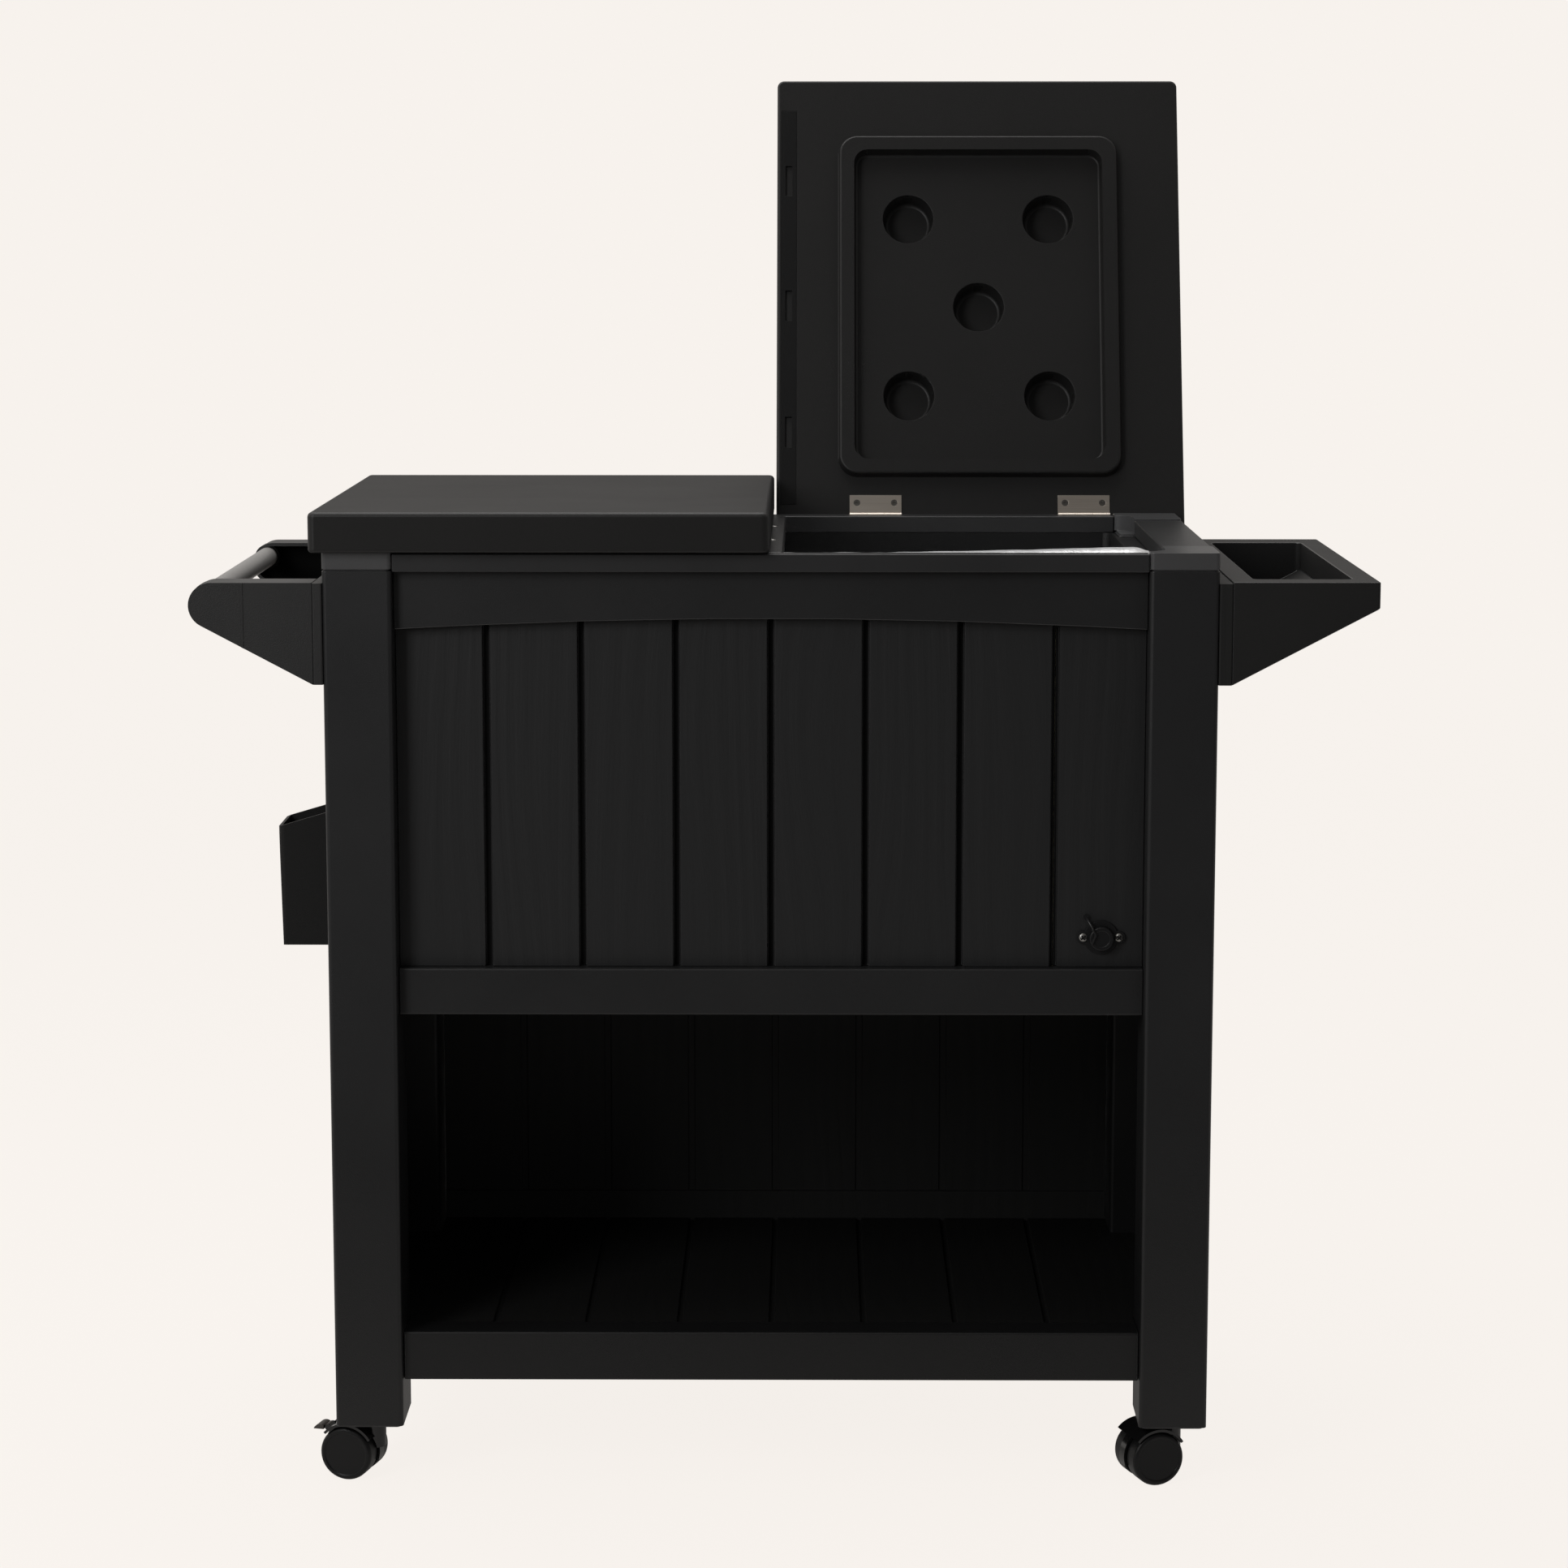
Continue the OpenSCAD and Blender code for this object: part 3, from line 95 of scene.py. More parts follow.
# Legs
# Four hollow square-section posts of charcoal resin carry the cabinet, with small radii on
# their upright edges and a vent slot low on the inner face. Like every moulding of the bar
# they have a fine spark-eroded grain, matt and a little uneven in tone.
class Wire:
    """A node's socket that arithmetic works on: each operation adds its Math node."""

    def __init__(self, nodes, socket):
        self.nodes = nodes
        self.socket = socket

    def combined(self, operation, other, swapped=False):
        pair = [other, self] if swapped else [self, other]
        return self.nodes.node("ShaderNodeMath", {"operation": operation}, dict(enumerate(pair)))

    def __add__(self, other):
        return self.combined("ADD", other)

    def __sub__(self, other):
        return self.combined("SUBTRACT", other)

    def __mul__(self, other):
        return self.combined("MULTIPLY", other)

    def __rsub__(self, other):
        return self.combined("SUBTRACT", other, swapped=True)

    __radd__ = __add__
    __rmul__ = __mul__


class Nodes:
    """A node tree in which one method makes every node."""

    def __init__(self, tree):
        self.tree = tree

    def feed(self, socket, value):
        for one in value if isinstance(value, list) else [value]:
            if isinstance(one, Wire):
                self.tree.links.new(one.socket, socket)
            else:
                socket.default_value = one

    def node(self, kind, settings=None, inputs=None, output=0):
        made = self.tree.nodes.new(kind)
        for name, value in (settings or {}).items():
            setattr(made, name, value)
        for name, value in (inputs or {}).items():
            self.feed(made.inputs[name], value)
        return Wire(self, made.outputs[output] if made.outputs else None)

    def split(self, vector):
        apart = self.node("ShaderNodeSeparateXYZ", {}, {0: vector}).socket.node
        return [Wire(self, socket) for socket in apart.outputs]

    def ramp(self, value, start, end, low=0.0, high=1.0):
        """Goes smoothly from low to high while the value goes from start to end."""
        return self.node("ShaderNodeMapRange", {"interpolation_type": "SMOOTHSTEP"}, {
            0: value, 1: start, 2: end, 3: low, 4: high})

    def toned(self, colour, amount):
        """A colour times a wire, which lightens it above 1 and darkens it below."""
        grey = self.node("ShaderNodeCombineColor", {}, {0: amount, 1: amount, 2: amount})
        return self.node("ShaderNodeMix", {"data_type": "RGBA", "blend_type": "MULTIPLY"}, {
            0: 1.0, 6: (*colour, 1), 7: grey}, output=2)


class Finish(Nodes):
    """A material under construction: a Principled surface and the nodes that feed it."""

    def __init__(self, name, colour, roughness, metallic=0.0, specular=0.5):
        self.material = bpy.data.materials.new(name)
        self.material.use_nodes = True
        super().__init__(self.material.node_tree)
        self.surface = self.tree.nodes["Principled BSDF"]
        self.colour = colour
        self.put("Base Color", (*colour, 1))
        self.put("Roughness", roughness)
        self.put("Metallic", metallic)
        self.put("Specular IOR Level", specular)

    def put(self, socket, value):
        self.feed(self.surface.inputs[socket], value)

    def place(self, scale=(1, 1, 1)):
        """Object coordinates, in metres, times a scale for each axis."""
        coordinates = self.node("ShaderNodeTexCoord", output=3)
        return self.node("ShaderNodeMapping", {}, {0: coordinates, 3: scale})

    def noise(self, where, scale, detail=2.0, roughness=0.5, distortion=0.0):
        return self.node("ShaderNodeTexNoise", {}, {
            "Vector": where, "Scale": scale, "Detail": detail,
            "Roughness": roughness, "Distortion": distortion})

    def shade(self, amount):
        """Feeds the base colour, toned by a wire."""
        self.put("Base Color", self.toned(self.colour, amount))

    def bump(self, height, distance):
        self.put("Normal", self.node("ShaderNodeBump", {}, {
            "Height": height, "Distance": distance}))


def resin(name, colour, roughness, specular=0.2, stipple=0.00012, mottle=0.10, floor_shade=1.0):
    """Matt moulded resin with a fine eroded grain and a slightly cloudy tone. With a floor shade
    below 1 it is painted darker towards the floor as shade, down to that share of its colour."""
    cloud_scale, grain_scale = 9.0, 1300.0
    cloud_roughness = 0.06
    faded_below, full_above = 80 * MM, 520 * MM
    finish = Finish(name, colour, roughness, specular=specular)
    where = finish.place()
    cloud = finish.noise(where, cloud_scale, detail=3.0)
    height = finish.split(where)[2]
    clouded = 1 - mottle + cloud * (2 * mottle)
    finish.shade(clouded * finish.ramp(height, faded_below, full_above, floor_shade, 1.0))
    finish.put("Roughness", roughness - cloud_roughness + cloud * (2 * cloud_roughness))
    finish.bump(finish.noise(where, grain_scale, detail=1.0), stipple)
    return finish.material


def eased(node, width, material, body="cabinet", edge=None, cutter=None, tilt=None):
    """Stands a copy of a moulding in place of its plain solid, with its sharp edges eased
    by a small radius and its curved faces shaded smooth. The edges may have a material of
    their own, where the mould is polished: the eased ones, or with a tilt about X all faces
    that turn away from the axes tilted so. A cutter opens a pocket in it."""
    merged_within = 2e-6
    flat_below = math.radians(0.6)
    sharp_above = math.radians(32)
    smooth_below = math.radians(38)
    along_axis = 0.985
    piece = stand(node + "_moulding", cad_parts[node].data.copy())
    shape = bmesh.new()
    shape.from_mesh(piece.data)
    bmesh.ops.remove_doubles(shape, verts=shape.verts, dist=merged_within)
    bmesh.ops.dissolve_limit(
        shape, angle_limit=flat_below, verts=shape.verts, edges=shape.edges)
    shape.to_mesh(piece.data)
    shape.free()
    piece.data.materials.clear()
    piece.data.materials.append(material)
    if edge:
        piece.data.materials.append(edge)
    if cutter:
        pocket = piece.modifiers.new("pocket", "BOOLEAN")
        pocket.object = cutter
        pocket.solver = "EXACT"
        pocket.material_mode = "TRANSFER"
    if width:
        easing = piece.modifiers.new("edge", "BEVEL")
        easing.width = width
        easing.segments = 3
        easing.limit_method = "ANGLE"
        easing.angle_limit = sharp_above
        easing.use_clamp_overlap = True
        easing.material = 1 if edge else -1
    piece.data = bpy.data.meshes.new_from_object(
        piece.evaluated_get(bpy.context.evaluated_depsgraph_get()))
    piece.modifiers.clear()
    if tilt is not None:
        upright = Matrix.Rotation(-math.radians(tilt), 3, "X")
        for face in piece.data.polygons:
            if max(abs(part) for part in upright @ face.normal) < along_axis:
                face.material_index = 1
    piece.data.polygons.foreach_set("use_smooth", [True] * len(piece.data.polygons))
    piece.data.set_sharp_from_angle(angle=smooth_below)
    even = piece.modifiers.new("even", "WEIGHTED_NORMAL")
    even.keep_sharp = True
    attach(piece, body)
    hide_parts(node)
    return piece


leg_easing = 0.6 * MM
# Painted shade: the legs' colour darkens towards the floor, where less light falls.
post_resin = resin("post_resin", (0.0168, 0.0170, 0.0176), 0.40, specular=0.42, floor_shade=0.45)
edge_resin = resin("edge_resin", (0.0185, 0.0186, 0.0192), 0.26, specular=0.75, stipple=0.00004)
corners = ["front_left", "front_right", "rear_left", "rear_right"]
for corner in corners:
    eased("leg_" + corner, leg_easing, post_resin, edge=edge_resin)

# Rim
# Corner caps plug into the legs and four bars join them round the mouth of the tub. They are
# the smoothest mouldings on the cabinet and catch the light along every edge.
cap_easing = 1.2 * MM
rim_easing = 1.6 * MM
rim_resin = resin("rim_resin", (0.0255, 0.0255, 0.0260), 0.34, specular=0.40, mottle=0.16)
cap_resin = resin("cap_resin", (0.0640, 0.0640, 0.0650), 0.30, specular=0.35, mottle=0.20)
cap_edge_resin = resin("cap_edge", (0.050, 0.050, 0.051), 0.20, specular=0.9, stipple=0.00004)
for corner in corners:
    eased("cap_" + corner, cap_easing, cap_resin, edge=cap_edge_resin)
for bar in ["front", "rear", "left", "right"]:
    eased("rim_" + bar, rim_easing, rim_resin, edge=edge_resin)


# Front
# Eight plank-like boards with wood grain stand between an arched top rail and a plain lower
# rail. The grooves between them are moulded in, and the end board, which has the drain's
# hole, is a piece of its own.
def grained_resin(name, colour, roughness, along, specular=0.2, face=None):
    """Resin whose mould was etched with wood grain that runs along an axis: "Z" or "Y".
    Behind a face at a given depth, in the grooves, it is matt and painted dark as their shade."""
    fibre_share, ring_share = 0.72, 0.28
    grain_depth = 0.0004
    groove_top, groove_floor = 0.5 * MM, 2.2 * MM
    groove_painted_shade = 0.92
    wander_reach = 3.0
    finish = Finish(name, colour, roughness, specular=specular)

    def stretched(crossways, lengthways):
        """Object coordinates with one scale across the grain and another along it."""
        return finish.place(tuple(lengthways if axis == along else crossways for axis in "XYZ"))

    wander = finish.noise(stretched(9, 2.2), 1.0, detail=1.0)
    drift = finish.node("ShaderNodeCombineXYZ", {}, {0: wander * wander_reach, 1: 0.0, 2: 0.0})
    bent = finish.node("ShaderNodeVectorMath", {"operation": "ADD"}, {
        0: stretched(42.0, 1.6), 1: drift})
    fibres = finish.noise(bent, 4.2, detail=4.0, roughness=0.65)
    rings = finish.node("ShaderNodeTexWave", {"wave_type": "BANDS", "bands_direction": "X"}, {
        "Vector": bent, "Scale": 0.42, "Distortion": 2.4, "Detail": 2.0, "Detail Scale": 0.8})
    relief = fibres * fibre_share + rings * ring_share
    tone = 0.92 + relief * 0.16
    rough = roughness + 0.05 - relief * 0.10
    if face is not None:
        depth = finish.split(finish.place())[1]
        sunk = finish.ramp(depth, face + groove_top, face + groove_floor)
        tone = tone * (1 - groove_painted_shade * sunk)
        rough = rough + (1 - rough) * sunk
    finish.shade(tone)
    finish.put("Roughness", rough)
    finish.bump(relief, grain_depth)
    return finish.material


plank_easing = 0.9 * MM
front_rail_easing = 1.2 * MM
front_face = -199 * MM
# The front planks get painted shade in their grooves, darker than their faces.
plank_resin = grained_resin("plank_resin", (0.0165, 0.0167, 0.0171), 0.46, "Z", specular=0.38,
                            face=front_face)
panel_resin = grained_resin("panel_resin", (0.0165, 0.0165, 0.0160), 0.54, "Z", specular=0.2)
rail_resin = resin("rail_resin", (0.0158, 0.0159, 0.0163), 0.40, specular=0.40)
for boards in ["front_planks", "front_plank_drain"]:
    eased(boards, plank_easing, plank_resin, edge=edge_resin)
for rail in ["front_top_rail", "front_lower_rail"]:
    eased(rail, front_rail_easing, rail_resin, edge=edge_resin)

# Back and ends
# Each is one moulding of planks between three rails, with the grain of the front but duller,
# and without its polished edges.
for panel in ["rear_panel", "end_panel_left", "end_panel_right"]:
    eased(panel, plank_easing, panel_resin)

# Storage
# A box-section rail carries the front of the shelf, whose planks run from front to back. The
# deck above it closes the underside of the tub.
sill_easing = 1.4 * MM
shelf_resin = grained_resin("shelf_resin", (0.0110, 0.0110, 0.0106), 0.60, "Y", specular=0.12)
# The shelf rail's colour is painted darker than the mouldings above it, as shade low down.
sill_resin = resin("sill_resin", (0.0074, 0.0074, 0.0076), 0.42, specular=0.34)
eased("shelf_rail", sill_easing, sill_resin, edge=edge_resin)
eased("shelf_floor", plank_easing, shelf_resin)
eased("deck", plank_easing, rail_resin)

# Ice tub
# A one-piece tub with a flange hangs under the rim. A divider bar splits it into two halves,
# and foam fills the space behind its walls.
divider_easing = 1.2 * MM
tub_resin = resin("tub_resin", (0.0085, 0.0085, 0.0087), 0.42, specular=0.25)
eased("tub", 0, tub_resin)
eased("divider", divider_easing, rim_resin, edge=edge_resin)
foam = Finish("foam", (0.62, 0.57, 0.36), 0.9)
foam.shade(0.85 + foam.noise(foam.place(), 900.0) * 0.3)
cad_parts["insulation"].data.materials.clear()
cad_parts["insulation"].data.materials.append(foam.material)

# Liners
# Each half of the tub holds a loose bag of silvered film, creased where it was folded. Its
# front edge stands up behind the rim and rolls back, and the rest hangs below the tub's edge.
film = Finish("silver_film", (0.80, 0.80, 0.80), 0.30, metallic=0.35, specular=0.6)
creases = film.noise(film.place(), 60.0, detail=4.0, roughness=0.6, distortion=1.4)
film.put("Roughness", 0.22 + creases * 0.2)
film.bump(creases, 0.0016)
film_wall = 0.25 * MM
liner_low, liner_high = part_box("liners")
liner_inner, liner_outer = 4.3 * MM, liner_high.x
liner_front, liner_rear = -172.7 * MM, liner_high.y
liner_middle = Vector((0.5 * (liner_inner + liner_outer), 0.5 * (liner_front + liner_rear)))
liner_floor = liner_low.z + 0.5 * MM
floor_rings = (0.0, 0.12, 0.25, 0.38, 0.5, 0.62, 0.74, 0.86, 0.95, 1.0)
wall_rings = 40
liner_corner = 8 * MM
ledge_top = 846.3 * MM
# Behind the front the bag's edge stays level for a while, and then it falls below the ledge
level_for, falls_over, edge_drop = 18 * MM, 40 * MM, 30 * MM
# The roll of the front edge, as distances out over the ledge and up from it
roll = [(5, 0.3), (12, 0.6), (20, 0.9), (27, 2.2), (29.6, 6), (29.8, 10), (27.5, 13.6),
        (22.5, 16.2), (16, 17.2), (9.5, 17.3), (5.5, 16.6), (3.4, 15.2)]
# It goes on round the outer front corner, lower and narrower, and fades out along the side
roll_corner, roll_fade = 9 * MM, 26 * MM
side_reach, side_lift = 0.6, 0.42
# Elsewhere the edge is only a small hem, which leans in and up by these shares of the roll
hem_in, hem_up = 0.12, 0.05
# The standing edge's share of the roll's height, its ripple, and where it swells upwards
edge_height, edge_ripple, ripple_scale = 0.81, 0.03, 14
swell_from, swell_over, swell_power = 0.25, 0.72, 1.2
roll_wave, roll_sag, roll_push = 0.35 * MM, 0.3 * MM, 0.12


def clamped(value):
    return min(1.0, max(0.0, value))


def liner_outline():
    """Points round the bag seen from above, with the way out at each, anticlockwise from the
    middle of the front side."""
    step = 6.0 * MM
    corner_points = 6
    inner, outer, front, rear = liner_inner, liner_outer, liner_front, liner_rear
    sides = [((0.5 * (inner + outer), front), (outer - liner_corner, front)),
             ((outer, front + liner_corner), (outer, rear - liner_corner)),
             ((outer - liner_corner, rear), (inner + liner_corner, rear)),
             ((inner, rear - liner_corner), (inner, front + liner_corner)),
             ((inner + liner_corner, front), (0.5 * (inner + outer), front))]
    ways = [Vector(way) for way in ((0, -1), (1, 0), (0, 1), (-1, 0), (0, -1))]
    points = []
    for number, (start, end) in enumerate(sides):
        start, end = Vector(start), Vector(end)
        count = max(2, round((end - start).length / step))
        points += [(start.lerp(end, k / count), ways[number]) for k in range(count)]
        if number < len(sides) - 1:
            here, there = ways[number], ways[number + 1]
            centre = end - here * liner_corner
            for k in range(corner_points):
                turn = k * math.pi / (2 * corner_points)
                way = here * math.cos(turn) + there * math.sin(turn)
                points.append((centre + way * liner_corner, way))
    return points


def brim(p):
    """Height of the bag's edge above a point of its outline."""
    behind = clamped((p.y - liner_front - level_for) / falls_over)
    return ledge_top - edge_drop * behind * behind * (3 - 2 * behind)


def crumple(place, seed):
    """Inward push of the film in millimetres: long soft folds with sharp small creases."""
    soft = noise.noise(place * 9.0 + Vector((seed, 0, 0)))
    sharp = 1 - abs(noise.noise(place * 26.0 + Vector((0, seed, 0)))) * 2
    fine = 1 - abs(noise.noise(place * 70.0 + Vector((0, 0, seed)))) * 2
    return max(0.0, 1.6 + 2.2 * soft + 1.5 * sharp + 0.6 * fine)


def ringed(rings, count):
    """Faces that join rings of so many points each, one ring to the next."""
    faces = []
    for ring in range(0, (rings - 1) * count, count):
        following = ring + count
        for k in range(count):
            after = (k + 1) % count
            faces.append((ring + k, ring + after, following + after, following + k))
    return faces


def turned_out(mesh):
    """Merges a mesh's doubles, points its faces outwards and returns their area."""
    shape = bmesh.new()
    shape.from_mesh(mesh)
    bmesh.ops.remove_doubles(shape, verts=shape.verts, dist=1e-5)
    bmesh.ops.recalc_face_normals(shape, faces=shape.faces)
    area = sum(face.calc_area() for face in shape.faces)
    shape.to_mesh(mesh)
    shape.free()
    return area


outline = liner_outline()
# The right bag's edge stands up higher than the left one's
for side, sign, rise in (("left", -1, 0.15), ("right", 1, 0.31)):
    rows = [[(liner_middle.lerp(p, share), liner_floor, way, "floor") for p, way in outline]
            for share in floor_rings]
    rows += [[(p, liner_floor + (brim(p) - liner_floor) * level / wall_rings, way, "wall")
              for p, way in outline] for level in range(1, wall_rings + 1)]
    for out, up in roll:
        row = []
        for p, way in outline:
            front = max(0.0, -way.y) if p.y < liner_front + roll_corner else 0.0
            beside = 0.0
            if way.x > 0.5:
                beside = clamped(1 - (p.y - liner_front - liner_corner) / roll_fade)
            reach = max(front, side_reach * beside)
            across = (p.x - liner_inner) / (liner_outer - liner_inner)
            swell = clamped((across - swell_from) / swell_over) ** swell_power
            ripple = noise.noise(Vector((across * ripple_scale, sign, 0)))
            standing = edge_height + rise * swell + edge_ripple * ripple
            lift = front * standing + (1 - front) * side_lift * beside
            outward = out * reach - (1 - reach) * out * hem_in
            upward = up * lift + (1 - lift) * out * hem_up
            row.append((p + way * outward * MM, brim(p) + upward * MM, way, "roll"))
        rows.append(row)
    film_points = []
    for row in rows:
        for p, height, way, part in row:
            place = Vector((p.x * sign, p.y, height))
            push = crumple(place, 3.0 + sign) * MM
            if part == "floor":
                height += push
            elif part == "wall":
                p = p - way * push
            else:
                height += roll_wave * noise.noise(place * 60.0) - roll_sag
                p = p - way * roll_push * push
            film_points.append((p.x * sign, p.y, height))
    film_mesh = bpy.data.meshes.new("liner_" + side)
    film_mesh.from_pydata(film_points, [], ringed(len(rows), len(outline)))
    film_area = turned_out(film_mesh)
    film_mesh.materials.append(film.material)
    film_mesh.polygons.foreach_set("use_smooth", [True] * len(film_mesh.polygons))
    liner = stand("liner_" + side, film_mesh)
    wall = liner.modifiers.new("film", "SOLIDIFY")
    wall.thickness = film_wall
    wall.offset = -1
    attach(liner, "cabinet")
    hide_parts("liners")
    if side == "right":
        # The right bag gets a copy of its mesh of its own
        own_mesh(liner)

# Tray
# A tray with a sloping underside hangs on a board at the right end. Its deep pocket follows
# the slope, and it is moulded in a slightly warmer batch than the cabinet.
tray_easing = 1.4 * MM
tray_board_easing = 0.8 * MM
side_resin = resin("side_resin", (0.0165, 0.0162, 0.0159), 0.52, specular=0.22)
eased("side_tray", tray_easing, side_resin, edge=edge_resin)
eased("tray_board_plate", tray_board_easing, panel_resin)

# Push handle
# Two round-nosed brackets on a board hold a slim painted tube across the left end. Each has
# an open pocket in its inner side, and in that a boss for the end of the tube.
handle_board_easing = 1.2 * MM
bracket_easing = 2.0 * MM
tube_easing = 0.4 * MM
bracket_resin = resin("bracket_resin", (0.0225, 0.0224, 0.0222), 0.42, specular=0.42)
# The pockets and the bosses in them are coloured near black, as painted shade.
pocket_shade = Finish("bracket_inside", (0.0022, 0.0022, 0.0020), 0.8, specular=0.1).material
bracket_wall = 3.2 * MM
pocket_depth = 24 * MM
cutter_overshoot = 1 * MM
nose = Vector((-499, 816)) * MM
nose_radius = 20.5 * MM
foot_x, foot_low = -409 * MM, 745 * MM
tube_axis = Vector((-505, 822.5)) * MM
boss_bore, boss_radius = 9.9 * MM, 12.2 * MM
boss_below, bore_depth = 0.6 * MM, 13 * MM
eased("handle_board_plate", handle_board_easing, bracket_resin,
      edge=cap_edge_resin)


def pocket_cutter(open_at, floor_at):
    """The space inside a bracket, between its open face and its floor, as a prism."""
    reach = nose - Vector((foot_x, foot_low))
    lean = math.atan2(reach.y, -reach.x) - math.asin(nose_radius / reach.length)
    below = Vector((-math.sin(lean), -math.cos(lean)))
    radius = nose_radius - bracket_wall
    start = math.atan2(below.y, below.x)
    turn = (math.pi / 2 - start) % math.tau - math.tau
    arc_steps = 24
    points = []
    for k in range(arc_steps + 1):
        angle = start + turn * k / arc_steps
        points.append(nose + radius * Vector((math.cos(angle), math.sin(angle))))
    first = points[0]
    corner_x = foot_x - bracket_wall
    points.append(Vector((corner_x, nose.y + radius)))
    points.append(Vector((corner_x, first.y - (corner_x - first.x) * math.tan(lean))))
    count = len(points)
    mesh = bpy.data.meshes.new("pocket_cutter")
    mesh.from_pydata([(p.x, y, p.y) for y in (open_at, floor_at) for p in points], [], [
        tuple(range(count)), tuple(range(2 * count - 1, count - 1, -1)),
        *((k, k + count, (k + 1) % count + count, (k + 1) % count) for k in range(count))])
    mesh.materials.append(pocket_shade)
    turned_out(mesh)
    return stand("pocket_cutter", mesh)


def tube_boss(name, face, way):
    """A ring round the tube's end, from just below a bracket's face to its pocket's floor."""
    sides = 48
    turned = [Vector((math.cos(k * math.tau / sides), math.sin(k * math.tau / sides)))
              for k in range(sides)]
    rings = [(boss_bore, bore_depth), (boss_bore, boss_below),
             (boss_radius, boss_below), (boss_radius, pocket_depth)]
    points = [(tube_axis.x + p.x * radius, face - way * depth, tube_axis.y + p.y * radius)
              for radius, depth in rings for p in turned]
    mesh = bpy.data.meshes.new(name)
    mesh.from_pydata(points, [], ringed(len(rings), sides))
    mesh.materials.append(pocket_shade)
    turned_out(mesh)
    return stand(name, mesh)


for end, way, face in (("front", 1, -185 * MM), ("rear", -1, 185 * MM)):
    cutter = pocket_cutter(face + way * cutter_overshoot, face - way * pocket_depth)
    eased("handle_bracket_" + end, bracket_easing, bracket_resin,
          edge=edge_resin, cutter=cutter)
    bpy.data.objects.remove(cutter)
    boss = tube_boss("tube_boss_" + end, face, way)
    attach(boss, "cabinet")
tube = Finish("handle_paint", (0.335, 0.322, 0.308), 0.42, specular=0.4)
tube.put("Roughness", 0.32 + tube.noise(tube.place(), 60.0) * 0.10)
eased("handle_tube", tube_easing, tube.material)

# Cap catcher and opener
# A thin-walled resin box hangs on the left end, open at the top to catch caps. Above it is a
# bottle opener, pressed from plated steel and fixed with two screws.
catcher_easing = 0.7 * MM
opener_easing = 0.5 * MM
catcher_resin = resin("catcher_resin", (0.0115, 0.0113, 0.0111), 0.50, specular=0.22)
eased("cap_catcher", catcher_easing, catcher_resin, edge=edge_resin)


def plated(name, colour, roughness, brushed=0.05):
    """Nickel-plated steel, faintly brushed along X."""
    along_streaks, across_streaks = 14, 900
    finish = Finish(name, colour, roughness, metallic=1.0)
    where = finish.place((along_streaks, across_streaks, across_streaks))
    streaks = finish.noise(where, 1.0, detail=3.0)
    finish.put("Roughness", roughness - brushed + streaks * (2 * brushed))
    finish.shade(0.9 + streaks * 0.2)
    return finish.material


steel = plated("plated_steel", (0.76, 0.69, 0.61), 0.32)
eased("bottle_opener", opener_easing, steel)


# Screws
# Plated pan-head screws with a cross recess hold the boards at both ends, the drain plate,
# the opener, the divider's bar and the hinge leaves on the rim.
class Growth(Nodes):
    """A Geometry Nodes tree under construction, with its named inputs."""

    def __init__(self, name, inputs):
        super().__init__(bpy.data.node_groups.new(name, "GeometryNodeTree"))
        ends = self.tree.interface
        ends.new_socket("Geometry", in_out="OUTPUT", socket_type="NodeSocketGeometry")
        self.sockets = {}
        for label, kind, value in inputs:
            socket = ends.new_socket(label, in_out="INPUT", socket_type=kind)
            if value is not None:
                socket.default_value = value
            self.sockets[label] = socket.identifier
        self.entry = self.tree.nodes.new("NodeGroupInput")
        self.exit = self.tree.nodes.new("NodeGroupOutput")

    def given(self, label):
        """One of the tree's inputs."""
        identifier = self.sockets[label]
        return Wire(self, next(s for s in self.entry.outputs if s.identifier == identifier))

    def carried(self, label):
        """A vector that every point of the carrier mesh has under a name."""
        return self.node("GeometryNodeInputNamedAttribute", {"data_type": "FLOAT_VECTOR"}, {
            "Name": label})

    def moved(self, geometry, changes):
        return self.node("GeometryNodeTransform", {}, {"Geometry": geometry, **changes})

    def painted(self, geometry, label):
        return self.node("GeometryNodeSetMaterial", {}, {
            0: geometry, "Material": self.given(label)})

    def finish(self, geometry):
        self.feed(self.exit.inputs[0], self.node("GeometryNodeRealizeInstances", {}, {0: geometry}))


def grown(name, tree, carrier, values):
    """Runs a tree on a carrier mesh and keeps the result as a plain mesh."""
    piece = stand(name, carrier)
    growth = piece.modifiers.new("growth", "NODES")
    growth.node_group = tree.tree
    for label, value in values.items():
        growth[tree.sockets[label]] = value
    piece.data = bpy.data.meshes.new_from_object(
        piece.evaluated_get(bpy.context.evaluated_depsgraph_get()))
    piece.modifiers.clear()
    return piece


bright_steel = plated("screw_steel", (0.34, 0.335, 0.32), 0.34)
# The cross recesses are coloured near black, as painted shade.
recess_steel = Finish("recess_steel", (0.012, 0.012, 0.012), 0.6, specular=0.2).material
screw_tree = Growth("pan_head_screws", [
    ("Geometry", "NodeSocketGeometry", None), ("Recess Reach", "NodeSocketFloat", 0.64),
    ("Recess Width", "NodeSocketFloat", 0.17), ("Material", "NodeSocketMaterial", None),
    ("Recess Material", "NodeSocketMaterial", None)])
